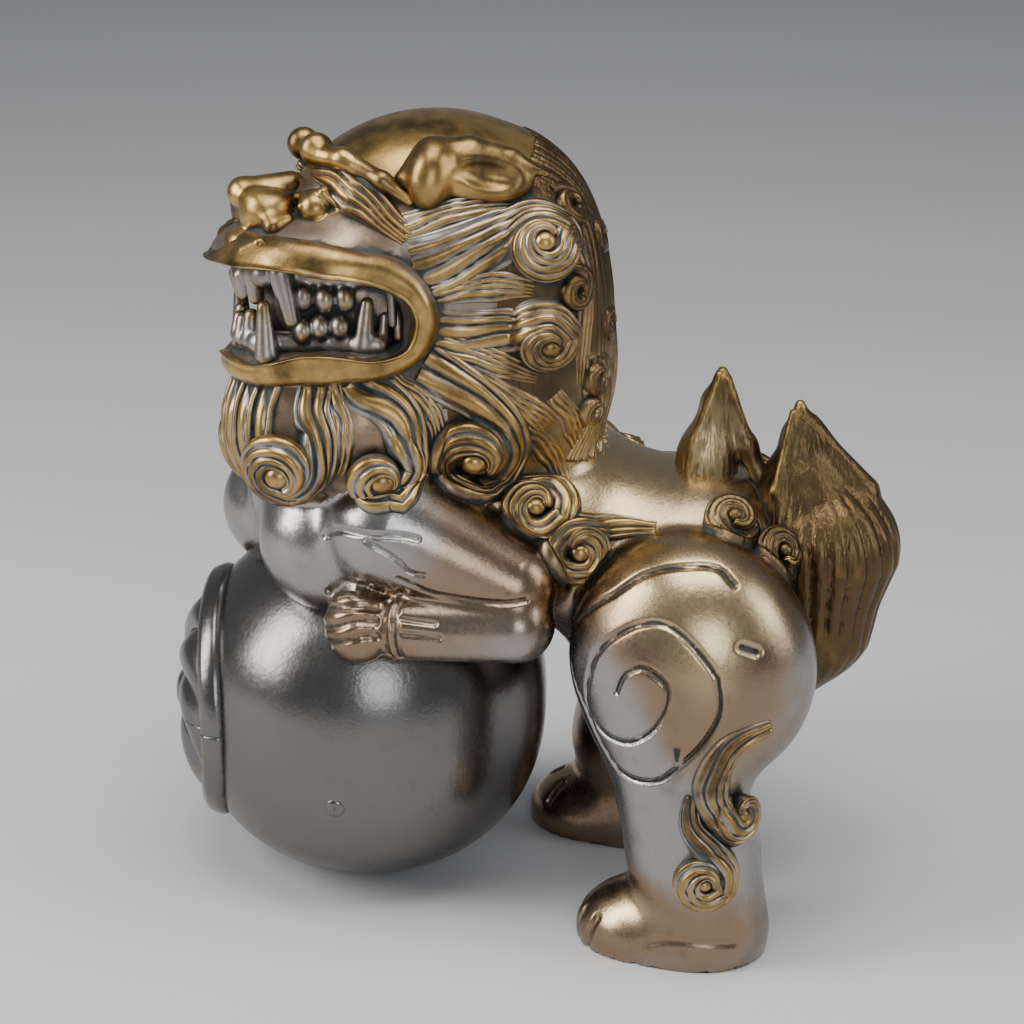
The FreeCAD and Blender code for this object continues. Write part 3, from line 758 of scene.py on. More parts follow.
crest = [(-116, 0, 14.5), (-114.5, -11, 14.5), (-109.5, -23, 14), (-102, -34, 14), (-93, -41, 13), (-84, -45, 11),
         (-76, -46, 10), (-67, -46, 8), (-60, -46, 5), (-54, -46, 1), (-50.5, -45, -5), (-50, -42, -11),
         (-52, -40, -17), (-58, -41.5, -19.5), (-67, -43, -20), (-77, -43, -18), (-85, -41, -17),
         (-93, -37, -17.5), (-101, -31, -20), (-107, -20, -22), (-111, -10, -21), (-112, 0, -20)]
foot = [(-102, 0, 25), (-101, -10, 25), (-98, -20, 24), (-93, -28, 24), (-85, -34, 23), (-77, -38, 21),
        (-69, -39.5, 19), (-60, -41, 17), (-52, -42, 13), (-46, -43, 6), (-42.5, -42, -2), (-41, -39, -9),
        (-43, -34, -18), (-50, -33, -24), (-62, -36, -27), (-74, -36, -27), (-84, -34, -27.5),
        (-92, -30, -28), (-99, -23, -29), (-104, -14, -30), (-106, -7, -30), (-107, 0, -30)]


def wholeLoop(near):
    # The near half of a loop and its mirror image.
    return np.array(near + [(x, -y, z) for x, y, z in near[-2:0:-1]], float)


def loopCurve(points, each=10):
    # Closed Catmull-Rom curve with the same number of samples in each span.
    p = np.concatenate([points[-1:], points, points[:2]])
    t = np.linspace(0, 1, each, endpoint=False)[:, None]
    return np.concatenate([0.5 * (2 * b + (c - a) * t + (2 * a - 5 * b + 4 * c - d) * t**2
                                  + (3 * b - a - 3 * c + d) * t**3)
                           for a, b, c, d in zip(p[:-3], p[1:-2], p[2:-1], p[3:])])


crestLine, footLine = loopCurve(wholeLoop(crest)), loopCurve(wholeLoop(foot))
outOf = toLocal(gradient(bodyDistance, toWorld(footLine, headFrame)) + headFrame[0], headFrame)
for _ in range(12):
    outOf = (np.roll(outOf, 1, 0) + outOf + np.roll(outOf, -1, 0)) / 3
outOf /= np.linalg.norm(outOf, axis=1, keepdims=True)
inward = crestLine - footLine
inward -= outOf * (inward * outOf).sum(1, keepdims=True)
inward /= np.linalg.norm(inward, axis=1, keepdims=True)
deeper = np.array([-60.0, 0, 0]) - crestLine
deeper[:, 2] = 0
deeper /= np.linalg.norm(deeper, axis=1, keepdims=True)
# Stations of the band's outline: share of the way from foot to crest, then how far out of the
# skin, in towards the opening and back into the mouth, and how rubbed it is.
outline = [(0.0, -3.5, -0.5, 0, 0), (0.0, -1.0, -0.8, 0, 0.1), (0.05, 0.9, -0.2, 0, 0.3), (0.15, 2.0, 0, 0, 0.6),
           (0.32, 2.6, 0, 0, 0.8), (0.5, 2.4, 0, 0, 0.85), (0.68, 1.5, 0, 0, 0.85), (0.82, 0.5, 0, 0, 0.85),
           (0.92, 0.0, 0, 0, 0.9), (0.97, 0.3, 0, 0, 1.0), (1.0, 0.5, 0.1, 0, 1.0), (1.0, 0.2, 0.5, 0.6, 1.0),
           (1.0, -0.2, 0.5, 1.6, 0.8), (1.0, 0, 0.3, 4.0, 0.5), (1.0, 0, 0.2, 8.0, 0.3), (1.0, 0, 0, 14.0, 0.1),
           (0.9, 0, -1.5, 16.0, 0), (0.3, -7.0, 0, 8.0, 0)]
rings = [footLine + (crestLine - footLine) * share + outOf * out + inward * further + deeper * deep
         for share, out, further, deep, shine in outline]
grid = np.stack(rings, 1)


def rolled(grid, worn):
    # A sheet closed both ways, as a ring with a closed outline.
    n, m = grid.shape[:2]
    index = np.arange(n * m).reshape(n, m)
    a, b = index, np.roll(index, -1, 0)
    quads = np.stack([a, b, np.roll(b, -1, 1), np.roll(a, -1, 1)], -1).reshape(-1, 4)
    return grid.reshape(-1, 3), quads, np.broadcast_to(worn, (n, m)).ravel()


rimWorn = np.array([shine for *_, shine in outline])
addPiece("mouth_rim", ["mouth_rim"], "gilt_bronze",
         [rolled(toWorld(grid.reshape(-1, 3), headFrame).reshape(grid.shape), rimWorn)])

# Small solid shapes, each the smooth union of its own lumps.


def blobs(items, voxel, frameOf=headFrame, extra=None, hollows=()):
    # Smooth minimum of items: ("lump", centre, radii, turn, blend) or ("limb", start, end, radii, blend).
    made = []
    for kind, *rest in items:
        if kind == "lump":
            centre, radii, turn, blend = rest
            turned = frameOf[1] @ turnMatrix(*turn)
            made.append(("lump", (toWorld(centre, frameOf), np.array(radii, float), turned), blend))
        else:
            start, end, a, b, blend = rest
            made.append(("limb", (toWorld(start, frameOf), toWorld(end, frameOf), a, b), blend))

    def distance(points):
        total = None
        for kind, numbers, blend in made:
            d = lumpDistance(kind, numbers, points)
            total = d if total is None else softMin(d, total, blend)
        for centre, radii, turn in hollows:
            numbers = (toWorld(centre, frameOf), np.array(radii, float), frameOf[1] @ turnMatrix(*turn))
            total = softMax(total, -lumpDistance("lump", numbers, points), 2.0)
        return total + extra(points) if extra else total

    corners = []
    for kind, numbers, blend in made:
        if kind == "lump":
            corners += [numbers[0] - numbers[1].max(), numbers[0] + numbers[1].max()]
        else:
            reach = max(numbers[2], numbers[3])
            corners += [numbers[0] - reach, numbers[0] + reach, numbers[1] - reach, numbers[1] + reach]
    corners = np.array(corners)
    points, quads = polygonise(distance, corners.min(0) - 4.0, corners.max(0) + 4.0, voxel)
    points = settle(distance, points, 2)
    return points, quads, 1.0


def bothSides(items):
    # The items and their mirror images.
    twins = []
    for kind, *rest in items:
        if kind == "lump":
            (x, y, z), radii, (yaw, pitch, roll), blend = rest
            twins.append(("lump", (x, -y, z), radii, (-yaw, pitch, -roll), blend))
        else:
            (x, y, z), (u, v, w), a, b, blend = rest
            twins.append(("limb", (x, -y, z), (u, -v, w), a, b, blend))
    return items + twins


# Grid cells that the small shapes are made on.
fineness = dict(teeth=0.75, nose=0.85, eye=0.6, brow=0.8, ear=0.8, tail_front_flame=1.1, tail_rear_flame=1.3)
straight = (0, 0, 0)
upperTeeth = bothSides([
    ("limb", (-94, -24, 11), (-91, -25, -6), 4.2, 2.6, 0.8),
    ("lump", (-86, -23, 2), (3.9, 5.5, 5.5), straight, 0.8),
    ("lump", (-79, -26, 1), (3.9, 5.5, 5.5), straight, 0.8),
    ("lump", (-72, -28, 1), (3.9, 5.5, 5.5), straight, 0.8),
    ("limb", (-98, -16, 10), (-62, -31, 8), 4.5, 4.0, 2.0),
    ("limb", (-101, -10, 9), (-100, -9, 1), 3.4, 3.0, 0.8),
    ("limb", (-102, 0, 10), (-98, -16, 10), 4.5, 4.5, 2.0),
    ("limb", (-104, -3.4, 8), (-103, -3.2, 2), 3.2, 2.8, 0.8),
    ("limb", (-56, -31, 4), (-56, -31, -9), 2.2, 1.8, 1.0),
    ("limb", (-51, -30, 3), (-52, -30, -8), 2.0, 1.8, 1.0),
])
lowerTeeth = bothSides([
    ("limb", (-100, -22, -18), (-100, -22, -1), 4.2, 2.4, 0.8),
    ("lump", (-87, -24, -10), (3.6, 5.0, 4.8), straight, 0.8),
    ("lump", (-81, -26, -9), (3.7, 5.0, 4.8), straight, 0.8),
    ("lump", (-74.5, -28, -9), (3.7, 5.0, 4.8), straight, 0.8),
    ("limb", (-67, -31, -16), (-65, -32, -1), 3.8, 2.4, 0.8),
    ("limb", (-100, -14, -15), (-62, -31, -16), 4.5, 4.2, 2.0),
    ("limb", (-103, -9, -14), (-102, -9, -6), 3.2, 2.8, 0.8),
    ("limb", (-103, 0, -16), (-100, -14, -15), 4.5, 4.5, 2.0),
    ("limb", (-105, -3.3, -14), (-104, -3.2, -8), 3.0, 2.6, 0.8),
    ("limb", (-60, -31, -14), (-59, -31, -6), 2.2, 1.6, 1.0),
    ("limb", (-54, -30, -14), (-54, -30, -5), 2.0, 1.6, 1.0),
])
addPiece("upper_teeth", ["upper_teeth"], "tooth_bronze", [blobs(upperTeeth, fineness["teeth"])])
addPiece("lower_teeth", ["lower_teeth"], "tooth_bronze", [blobs(lowerTeeth, fineness["teeth"])])
report("mouth")

# nose: a broad upturned tip with a bridge and flared wings, and the lip's puffed pads under it
noseItems = bothSides([
    ("limb", (-101, 0, 37.5), (-84, 0, 38), 4.2, 5.0, 3.0),
    ("limb", (-101, 0, 37), (-98, -12, 33), 4.4, 3.6, 3.0),
    ("limb", (-99, -11, 35), (-95, -21, 27), 3.4, 2.6, 4.0),
    ("lump", (-93, -11, 33), (8, 8, 6), straight, 5.0),
    ("limb", (-95, -21, 27), (-89, -20, 29), 2.4, 1.6, 4.0),
    ("lump", (-98, -8, 29), (6, 8, 5), straight, 4.0),
    ("lump", (-104, -7, 21), (6, 8, 5), straight, 3.0),
    ("limb", (-105, -20, 19), (-101, -26, 22), 3.0, 2.6, 2.0),
])
addPiece("nose", ["nose"], "gilt_bronze", [blobs(noseItems, fineness["nose"])])

# eyes: a ball between two lids
eyeItems = [
    ("lump", (-79.5, -20, 32.5), (6.2, 6.5, 6.2), straight, 1.0),
    ("limb", (-84, -14, 36), (-77, -24, 38), 1.9, 1.9, 1.2),
    ("limb", (-77, -24, 38), (-72, -26, 33), 1.9, 1.5, 1.2),
    ("limb", (-85, -15, 30), (-79, -25, 27.5), 1.7, 1.7, 1.2),
    ("limb", (-79, -25, 27.5), (-72, -27, 31), 1.7, 1.5, 1.2),
    ("lump", (-84.5, -22, 33.5), (1.6, 1.6, 1.6), straight, 0.6),
]
browItems = [
    ("limb", (-75, -14, 50), (-69, -22, 49), 4.0, 3.8, 3.0),
    ("limb", (-69, -22, 49), (-58, -34, 42), 3.8, 3.0, 3.0),
    ("limb", (-58, -34, 42), (-50, -39, 35), 3.0, 1.6, 3.0),
    ("lump", (-76, -11, 52), (6, 5, 6), straight, 2.0),
]
earItems = [
    ("lump", (-26, -37, 43), (22, 7, 11), (-6, 12, 0), 4.0),
    ("lump", (-42, -38, 43), (8, 8, 12), (0, 14, 0), 4.0),
    ("limb", (-50, -33, 42), (-40, -34, 50), 3.4, 5.0, 4.0),
    ("limb", (-40, -34, 50), (-26, -35, 51.5), 5.0, 3.6, 4.0),
    ("limb", (-26, -35, 51.5), (-12, -38, 47.5), 3.6, 2.8, 3.0),
    ("limb", (-12, -38, 47.5), (-1, -41, 41.5), 2.8, 1.2, 3.0),
]
browFlutes = dict(points=[(-80, -13, 47), (-74, -21, 44), (-66, -30, 37), (-58, -36, 29), (-51, -39, 22)])
earHollow = ((-21, -47, 42), (14, 7, 6.0), (-6, 14, 0))


def farSide(items):
    # The mirror images alone.
    return bothSides(items)[len(items):]


for side, pick in (("left", lambda items: items), ("right", farSide)):
    addPiece(f"{side}_eye", [f"{side}_eye"], "gilt_bronze", [blobs(pick(eyeItems), fineness["eye"])])
    way = None if side == "left" else mirrored
    (x, y, z), radii, (yaw, pitch, roll) = earHollow
    hollow = earHollow if side == "left" else ((x, -y, z), radii, (-yaw, pitch, -roll))
    flute = straightLock(browFlutes["points"], far=way, half=(3, 9, 4), rise=(3.0, 4.2, 0.2), ribs=5,
                         ribHeight=1.5, spacing=0.8, across=35)
    addPiece(f"{side}_brow", [f"{side}_brow"], "gilt_bronze", [blobs(pick(browItems), fineness["brow"]), flute])
    ear = blobs(pick(earItems), fineness["ear"], hollows=[hollow])
    addPiece(f"{side}_ear", [f"{side}_ear"], "gilt_bronze", [ear])
report("face")

# Tail: two flames with flutes that fan out below their tips.


def flutes(points):
    # Shallow grooves that run down the flames and deepen below their tips.
    angle = np.arctan2(points[..., 1], points[..., 0] - np.where(points[..., 0] < 148, 131, 170))
    drop = np.where(points[..., 0] < 148, 184, 170) - points[..., 2]
    depth = np.clip(drop / 22, 0, 1) * np.clip((points[..., 2] - 90) / 30, 0, 1)
    return 1.9 * depth * (1 - np.abs(np.sin(angle * 13 + points[..., 2] * 0.02))) ** 2


frontFlame = [
    ("limb", (130, 0, 148), (131, 0, 176), 17, 10, 6.0),
    ("limb", (131, 0, 176), (134, 0, 196), 10, 5, 5.0),
    ("limb", (134, 0, 196), (136, 0, 208), 5, 1.8, 4.0),
    ("limb", (135, -3, 207), (128, -9, 184), 1.4, 2.2, 3.0),
    ("limb", (128, -9, 184), (125, -14, 164), 2.2, 1.2, 3.0),
    ("limb", (138, 0, 204), (146, 0, 180), 1.5, 3.0, 5.0),
    ("limb", (146, 0, 180), (152, 0, 166), 3.0, 4.0, 5.0),
]
rearFlame = [
    ("limb", (176, 0, 142), (172, 0, 112), 28, 21, 6.0),
    ("limb", (172, 0, 112), (158, 0, 76), 21, 7, 8.0),
    ("limb", (168, 0, 140), (167, 0, 164), 24, 16, 6.0),
    ("limb", (167, 0, 164), (166, 0, 184), 16, 7.5, 5.0),
    ("limb", (166, 0, 184), (165, 0, 197), 7.5, 2.0, 4.0),
    ("limb", (163, -4, 195), (159, -14, 168), 1.5, 2.2, 3.0),
    ("limb", (159, -14, 168), (164, -24, 140), 2.2, 1.4, 3.0),
    ("limb", (170, 0, 190), (190, 0, 166), 1.6, 5.0, 6.0),
]
for name, items in (("tail_front_flame", frontFlame), ("tail_rear_flame", rearFlame)):
    addPiece(name, [name], "dark_bronze", [blobs(items, fineness[name], bodyFrame, flutes)])
report("tail")

# Ball: a surface of revolution |r/R|^n + |z/H|^n = 1, a little squarer than a circle.

ball = dict(radius=69.5, half=68.5, fullness=2.3, flat=17.0, size=68.0, across=360, down=200)


def ballPoint(around, up):
    # r = R cos(up)^(2/n) and z = H + H sin(up)^(2/n), with up from -90 to 90 degrees.
    c, s = np.cos(up), np.sin(up)
    r = ball["radius"] * np.abs(c) ** (2 / ball["fullness"])
    z = ball["half"] * np.sign(s) * np.abs(s) ** (2 / ball["fullness"]) + ball["half"] + 0 * around
    return np.stack([r * np.cos(around), r * np.sin(around), z], -1)


def ballDistance(points):
    # (|r/R|^n + |z/H|^n)^(1/n) - 1, times the size.
    r = np.hypot(points[..., 0], points[..., 1]) / ball["radius"]
    z = np.abs(points[..., 2] - ball["half"]) / ball["half"]
    n = ball["fullness"]
    return ((r**n + z**n) ** (1 / n) - 1) * ball["size"]


up = np.linspace(-np.pi / 2, np.pi / 2, ball["down"])[1:-1]
around = np.linspace(0, 2 * np.pi, ball["across"], endpoint=False)
rows = ballPoint(around[None], up[:, None])
n, m = rows.shape[:2]
index = np.arange(n * m).reshape(n, m)
a, b = index[:-1], index[1:]
quads = np.stack([a, np.roll(a, -1, 1), np.roll(b, -1, 1), b], -1).reshape(-1, 4)
poles = np.array([[0, 0, 0.0], [0, 0, 2 * ball["half"]]])
low, high = n * m, n * m + 1
caps = [np.stack([np.roll(index[0], -1), index[0], np.full(m, low), np.full(m, low)], 1),
        np.stack([index[-1], np.roll(index[-1], -1), np.full(m, high), np.full(m, high)], 1)]
ballPoints = np.concatenate([rows.reshape(-1, 3), poles])
flat = np.hypot(ballPoints[:, 0], ballPoints[:, 1]) < ball["flat"]
ballPoints[flat & (ballPoints[:, 2] < 20), 2] = 0
addPiece("ball", ["ball"], "ball_bronze", [(ballPoints, np.concatenate([quads] + caps), 1.0)])

# medallion: a raised round field with a rolled edge and petals round a boss
medallion = dict(facing=(-0.985, -0.17, 0.0), reach=0.74, rim=5.2, rimFrom=0.80, field=2.0, petals=4,
                 petalHeight=3.6, swirl=5, boss=4.0, bossReach=0.16, depth=2.0)
facing = np.array(medallion["facing"]) / np.linalg.norm(medallion["facing"])
sideways = np.cross([0, 0, 1.0], facing)
sideways /= np.linalg.norm(sideways)
upright = np.cross(facing, sideways)
rho = np.linspace(0, 1, 90)[:, None]
theta = np.linspace(0, 2 * np.pi, 260)[None]
tilt = rho * medallion["reach"]
spoke = np.cos(theta)[..., None] * sideways + np.sin(theta)[..., None] * upright
heading = np.cos(tilt)[..., None] * facing + np.sin(tilt)[..., None] * spoke
seat = settle(ballDistance, heading * 66 + [0, 0, ball["half"]], 4)
out = gradient(ballDistance, seat)
# Relief = rolled rim + swirling petals on the field + boss, with rho from 0 at the middle to 1.
petal = np.abs(np.cos(theta * medallion["petals"] + medallion["swirl"] * rho)) ** 0.7
petal = petal * np.sin(np.pi * np.clip((rho - 0.22) / 0.56, 0, 1)) ** 0.7
rim = np.clip((1 - rho) / 0.10, 0, 1) ** 0.5 * np.clip((rho - medallion["rimFrom"]) / 0.05, 0, 1)
relief = (medallion["rim"] * rim
          + np.where(rho < 0.82, medallion["field"] + medallion["petalHeight"] * petal, 0)
          + medallion["boss"] * np.exp(-(rho / medallion["bossReach"]) ** 4)
          - 0.5 * np.clip((rho - 0.985) / 0.015, 0, 1))
top = seat + out * relief[..., None]
bottom = seat - out * medallion["depth"]
medallionWorn = np.clip(relief / 5.5, 0, 1)
addPiece("ball_medallion", ["ball_medallion"], "ball_bronze", [closedSheet(top, bottom, medallionWorn)])

# plug: a low pin where the core was held
plug = dict(at=(4.0, -66, 50), outline=[(0.02, 0.9), (2.2, 0.8), (3.4, 0.35), (4.0, -0.4), (4.0, -4.0),
                                        (0.02, -4.0)])
plugAt = settle(ballDistance, np.array([plug["at"]]), 4)[0]
plugOut = gradient(ballDistance, plugAt[None])[0]
plugSide = np.cross(plugOut, [0, 0, 1.0])
plugSide /= np.linalg.norm(plugSide)
plugUp = np.cross(plugSide, plugOut)
ring = np.linspace(0, 2 * np.pi, 40, endpoint=False)[:, None]
spoke = np.cos(ring) * plugSide + np.sin(ring) * plugUp
grid = np.stack([plugAt + spoke * r + plugOut * h for r, h in plug["outline"]], 1)
addPiece("ball_plug", ["ball_plug"], "ball_bronze", [rolled(grid, 0.2)])
report("ball")

# Wear, patina and painted shade: how enclosed each spot is, from the share of metal round it.

wearAndShade = dict(cell=1.3, low=(-85.0, -105.0, -12.0), cells=(224, 162, 250), close=1.6, wide=6.0)
cellSize, fieldLow, fieldCounts = wearAndShade["cell"], np.array(wearAndShade["low"]), np.array(wearAndShade["cells"])
solid = np.zeros(fieldCounts, bool)
transform = openvdb.createLinearTransform(voxelSize=1.0)
for piece in pieces.values():
    grid = openvdb.FloatGrid.createLevelSetFromPolygons(
        ((piece["points"] - fieldLow) / cellSize).astype(np.float32),
        triangles=piece["faces"].astype(np.uint32), transform=transform, halfWidth=2.0)
    values = np.full(fieldCounts, 2.0, np.float32)
    grid.copyToArray(values)
    solid |= values < 0
# The floor counts as metal too, so spots near it are painted darker as shade.
solid[:, :, :int(-fieldLow[2] / cellSize)] = True
report("metal sampled")


def blurred(field, radius):
    # Three box averages along each axis, which comes close to a bell curve.
    field = field.astype(np.float32)
    width = max(1, int(round(radius / cellSize)))
    for axis in range(3):
        for _ in range(3):
            total = np.cumsum(field, axis=axis, dtype=np.float64)
            total = np.moveaxis(total, axis, 0)
            count = len(total)
            highEnd = np.minimum(np.arange(count) + width, count - 1)
            lowEnd = np.maximum(np.arange(count) - width - 1, 0)
            mean = (total[highEnd] - total[lowEnd]) / (2 * width + 1)
            field = np.moveaxis(mean, 0, axis).astype(np.float32)
    return field


def sampled(field, points):
    # Trilinear: each of the eight cells round a point counts by its nearness.
    at = np.clip((points - fieldLow) / cellSize, 0, fieldCounts - 1.001)
    low = at.astype(int)
    part = at - low
    total = 0
    for i in (0, 1):
        for j in (0, 1):
            for k in (0, 1):
                weight = np.abs(1 - np.array([i, j, k]) - part).prod(1)
                total = total + weight * field[low[:, 0] + i, low[:, 1] + j, low[:, 2] + k]
    return total


def between(value, low, high):
    # Smooth step, t^2 (3 - 2t).
    t = np.clip((value - low) / (high - low), 0, 1)
    return t * t * (3 - 2 * t)


# The close share marks groove patina and rubbed edges; the wide share is painted shade between parts.
fine, broad = blurred(solid, wearAndShade["close"]), blurred(solid, wearAndShade["wide"])
# Where the metal looks warm and coppery, and where cool: centre, reach, strength.
warmth = [
    ((134, -70, 140), 34, 0.9), ((62, 0, 190), 55, 0.9), ((120, 0, 170), 60, 0.8), ((108, -74, 24), 22, 1.2),
    ((165, -72, 150), 14, 0.8), ((145, -76, 105), 30, 0.4), ((15, -70, 125), 26, 0.7),
    ((150, -76, 14), 20, 0.5), ((60, -70, 130), 30, 0.3), ((-5, -60, 150), 34, -0.6),
    ((120, -70, 56), 30, -0.7), ((100, -64, 108), 30, -0.5), ((124, -80, 104), 16, -0.2),
    ((70, 30, 22), 50, 0.6),
]
for name, piece in pieces.items():
    points = piece["points"]
    close, wide = sampled(fine, points), sampled(broad, points)
    warm = np.full(len(points), 0.35)
    for centre, reach, strength in warmth:
        warm += strength * np.exp(-(((points - centre) ** 2).sum(1) / reach**2))
    mesh = piece["object"].data
    cut = between(grooveDepth(points), 0.9, 2.0) * 0.75 if name in groupNames else 0
    # Dark patina from grooves and close hollows, plus painted shade where the wide share of metal is high.
    patinaAndShadeMask = between(close, 0.50, 0.80) * 0.65 + between(wide, 0.48, 0.75) * 0.55 + cut
    for label, value in (("hollow", patinaAndShadeMask), ("edge", between(0.44 - close, 0.0, 0.2)),
                         ("warm", np.clip(warm, 0, 1.4))):
        mesh.attributes.new(label, "FLOAT", "POINT").data.foreach_set("value", value.astype(np.float32))
report("wear worked out")

# Materials.


class Wire:
    # A node's output; arithmetic on it adds Math nodes to its tree.
    def __init__(self, tree, socket):
        self.tree, self.socket = tree, socket

    def node(self, kind, out=0, settings=(), **inputs):
        # Any other node: "settings" are its properties, the rest its sockets by name.
        made = self.tree.nodes.new(kind)
        for key, value in dict(settings).items():
            setattr(made, key, value)
        for key, value in inputs.items():
            socket = made.inputs[int(key[1:])] if key[1:].isdigit() else made.inputs[key.replace("_", " ")]
            if isinstance(value, Wire):
                self.tree.links.new(value.socket, socket)
            else:
                socket.default_value = value
        return Wire(self.tree, made.outputs[out])

    def math(self, operation, first, second):
        return self.node("ShaderNodeMath", settings={"operation": operation}, i0=first, i1=second)

    def __add__(self, other):
        return self.math("ADD", self, other)

    def __radd__(self, other):
        return self.math("ADD", other, self)

    def __sub__(self, other):
        return self.math("SUBTRACT", self, other)

    def __rsub__(self, other):
        return self.math("SUBTRACT", other, self)

    def __mul__(self, other):
        return self.math("MULTIPLY", self, other)

    def __rmul__(self, other):
        return self.math("MULTIPLY", other, self)

    def ramp(self, low, high):
        # Smoothly from 0 at low to 1 at high.
        return self.node("ShaderNodeMapRange", settings={"interpolation_type": "SMOOTHSTEP"},
                         Value=self, From_Min=low, From_Max=high)

    def tint(self, first, second):
        # The first colour where this is 0, the second where it is 1.
        return self.node("ShaderNodeMix", out=2, settings={"data_type": "RGBA"}, i0=self, i6=first,
                         i7=second)


tones = dict(
    pewter=(0.33, 0.32, 0.31, 1), copper=(0.27, 0.19, 0.125, 1), gold=(0.56, 0.36, 0.12, 1),
    brown=(0.10, 0.065, 0.033, 1), steel=(0.17, 0.165, 0.16, 1), blackPatinaAndShade=(0.02, 0.02, 0.018, 1),
    # The near-black tone stands both for soot and for painted shade.
    verdigris=(0.055, 0.075, 0.065, 1),
    straw=(0.46, 0.35, 0.20, 1),
)


def bronze(name, first, second, rubbed, gilding, patinaShadeWeight, green, gloss=0.30, streaked=0.0):
    # Two metal tones by warmth and cloud noise, rubbed gold on edges and ridges, verdigris in the hollows, and a
    # near-black tint that is partly soot in the grooves and partly painted shade in enclosed spots.
    material = bpy.data.materials.new(name)
    material.use_nodes = True
    tree = material.node_tree
    shader = tree.nodes["Principled BSDF"]
    start = Wire(tree, None)
    place = start.node("ShaderNodeTexCoord", out=3)

    def noise(scale, detail=3.0, rough=0.55):
        return start.node("ShaderNodeTexNoise", Vector=place, Scale=scale, Detail=detail, Roughness=rough)

    def stored(label):
        return start.node("ShaderNodeAttribute", out=2, settings={"attribute_name": label})

    worn, hollow, edge, warm = (stored(label) for label in ("worn", "hollow", "edge", "warm"))
    cloud, patch, grain = noise(22.0), noise(90.0, 5.0), noise(700.0, 4.0, 0.65)
    metal = (warm + (cloud - 0.5) * 1.3).ramp(0.15, 0.85).tint(tones[first], tones[second])
    metal = (warm + (cloud - 0.5) * 0.8).ramp(0.95, 1.3).tint(metal, tones["straw"])
    rub = (worn * (1 - hollow * 1.3)).ramp(0.25, 0.85) * gilding[0] + edge * gilding[1]
    rub = (rub + (patch - 0.5) * 1.1).ramp(0.12, 0.95)
    stain = (cloud * 0.6 + patch * 0.6).ramp(0.42, 0.78)
    metal = rub.tint(metal, stain.tint(tones[rubbed], tones["brown"]))
    # Near-black tint: soot in grooves and less-worn spots, and painted shade where the metal is enclosed.
    patinaAndShade = ((hollow * 1.25 + (1 - worn) * 0.55) * patinaShadeWeight + (patch - 0.5) * 1.1).ramp(0.30, 0.85)
    growth = (patinaAndShade * (patch + 0.02)).ramp(0.48, 0.64) * green
    base = growth.tint(patinaAndShade.tint(metal, tones["blackPatinaAndShade"]), tones["verdigris"])
    speck = (grain - 0.5) * 0.16
    for socket, value in (
            ("Base Color", base), ("Metallic", (1 - patinaAndShade * 0.55) * (1 - growth * 0.7)),
            ("Roughness", patinaAndShade * 0.34 + (patch * 0.16 + speck) + (gloss - 0.08))):
        tree.links.new(value.socket, shader.inputs[socket])
    streaks = start.node("ShaderNodeTexNoise", Scale=650.0, Detail=3.0, Vector=start.node(
        "ShaderNodeVectorMath", settings={"operation": "MULTIPLY"}, i0=place, i1=(1, 1, 0.06)))
    height = grain * 0.5 + noise(260.0, 3.0) * 0.5 + patch * 0.6 + streaks * streaked
    bump = start.node("ShaderNodeBump", Height=height, Strength=0.35, Distance=0.0004)
    tree.links.new(bump.socket, shader.inputs["Normal"])
    return material


finishes = dict(
    body_bronze=bronze("body bronze", "pewter", "copper", "straw", (0.12, 0.7), 0.75, 0.5, 0.27),
    ball_bronze=bronze("ball bronze", "steel", "steel", "straw", (0.10, 0.8), 0.55, 0.4, 0.24),
    gilt_bronze=bronze("gilt bronze", "copper", "pewter", "gold", (0.95, 0.7), 1.0, 0.8, 0.33),
    hair_bronze=bronze("hair bronze", "pewter", "copper", "gold", (0.85, 0.6), 1.35, 0.9, 0.33),
    dark_bronze=bronze("dark bronze", "brown", "brown", "gold", (0.25, 0.8), 0.9, 0.5, 0.36, 3.0),
    tooth_bronze=bronze("tooth bronze", "pewter", "copper", "straw", (0.25, 0.7), 1.1, 0.6, 0.36),
)
for name, piece in pieces.items():
    hair = piece["slot"] == "gilt_bronze" and any(word in name for word in ("curl", "lock", "beard"))
    piece["object"].data.materials.append(finishes["hair_bronze" if hair else piece["slot"]])
report("materials")

# Camera, floor and light.

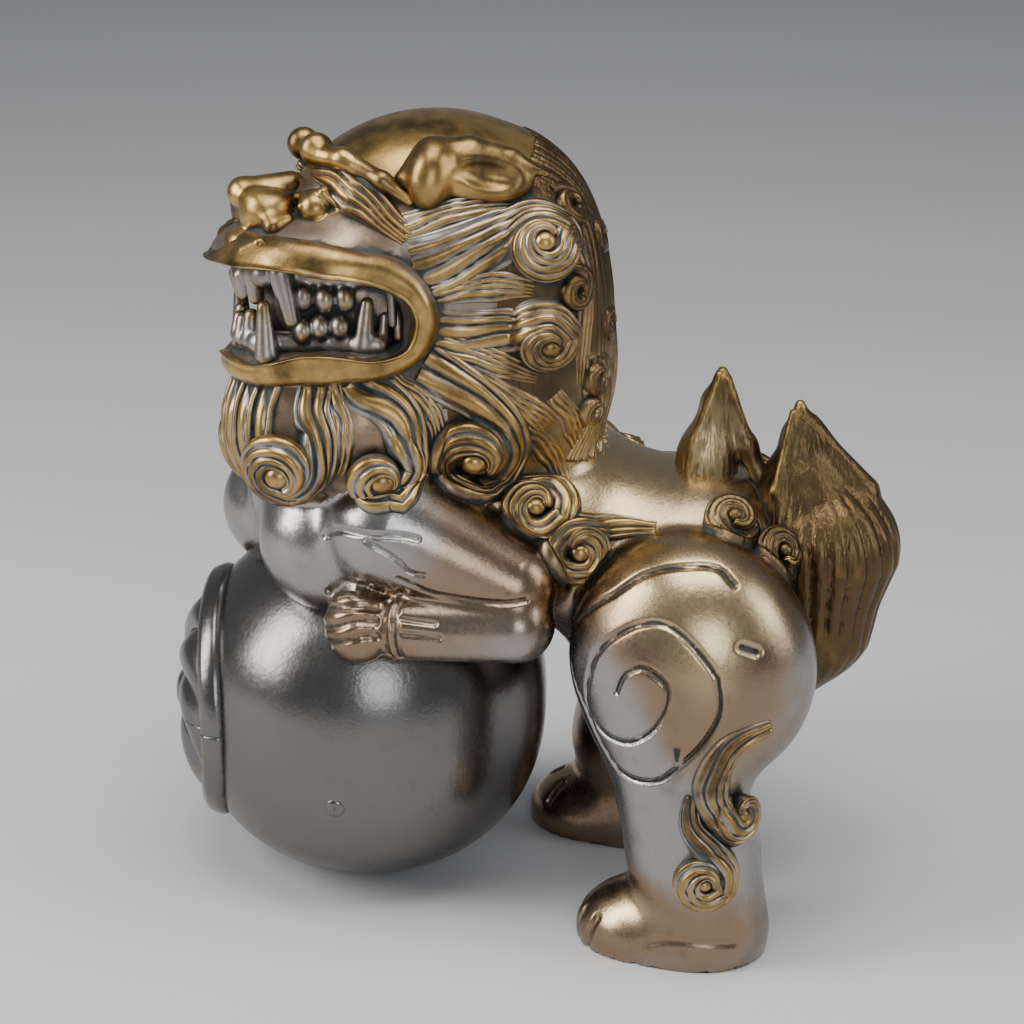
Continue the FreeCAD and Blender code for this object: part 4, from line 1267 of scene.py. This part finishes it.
camera = dict(azimuth=12, elevation=20, distance=1.1, target=(57.2, 0, 147.1), lens=102.1)
cameraData = bpy.data.cameras.new("camera")
cameraData.lens, cameraData.sensor_width = camera["lens"], 36
cameraObject = bpy.data.objects.new("camera", cameraData)
bpy.context.scene.collection.objects.link(cameraObject)
azimuth, elevation = np.radians([camera["azimuth"], camera["elevation"]])
level = np.cos(elevation)
back = np.array([np.sin(azimuth) * level, -np.cos(azimuth) * level, np.sin(elevation)])
cameraObject.location = toRow(np.array(camera["target"], float)) + back * camera["distance"]
cameraObject.rotation_euler = (np.pi / 2 - elevation, 0, azimuth)
bpy.context.scene.camera = cameraObject

floorMesh = bpy.data.meshes.new("floor")
floorMesh.from_pydata([(-30, -30, 0), (30, -30, 0), (30, 30, 0), (-30, 30, 0)], [], [(0, 1, 2, 3)])
floor = bpy.data.objects.new("floor", floorMesh)
bpy.context.scene.collection.objects.link(floor)
floorMaterial = bpy.data.materials.new("floor")
floorMaterial.use_nodes = True
floorShader = floorMaterial.node_tree.nodes["Principled BSDF"]
floorShader.inputs["Base Color"].default_value = (0.62, 0.62, 0.63, 1)
floorShader.inputs["Roughness"].default_value = 0.8
floorMesh.materials.append(floorMaterial)

world = bpy.data.worlds.new("studio")
world.use_nodes = True
backdrop = world.node_tree.nodes["Background"]
backdrop.inputs["Color"].default_value = (0.62, 0.64, 0.67, 1)
backdrop.inputs["Strength"].default_value = 0.38
bpy.context.scene.world = world

# Large soft panels: place in metres, watts, width, height, colour.
lights = dict(
    top=dict(place=(0.1, -0.25, 1.3), power=12, size=(0.9, 0.7), colour=(1, 0.98, 0.95)),
    left=dict(place=(-1.0, -0.55, 0.75), power=15, size=(0.5, 0.9), colour=(1, 0.97, 0.93)),
    front=dict(place=(0.45, -1.25, 0.5), power=4, size=(0.5, 0.6), colour=(0.93, 0.97, 1)),
    right=dict(place=(1.05, -0.1, 0.6), power=4.5, size=(0.4, 0.9), colour=(0.95, 0.97, 1)),
)
for name, light in lights.items():
    lightData = bpy.data.lights.new(name, "AREA")
    lightData.shape = "RECTANGLE"
    lightData.energy, lightData.color = light["power"], light["colour"]
    lightData.size, lightData.size_y = light["size"]
    lamp = bpy.data.objects.new(name, lightData)
    lamp.location = light["place"]
    lamp.rotation_euler = (Vector(light["place"]) - Vector((0, 0, 0.13))).to_track_quat("Z", "Y").to_euler()
    bpy.context.scene.collection.objects.link(lamp)

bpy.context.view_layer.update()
report("done")
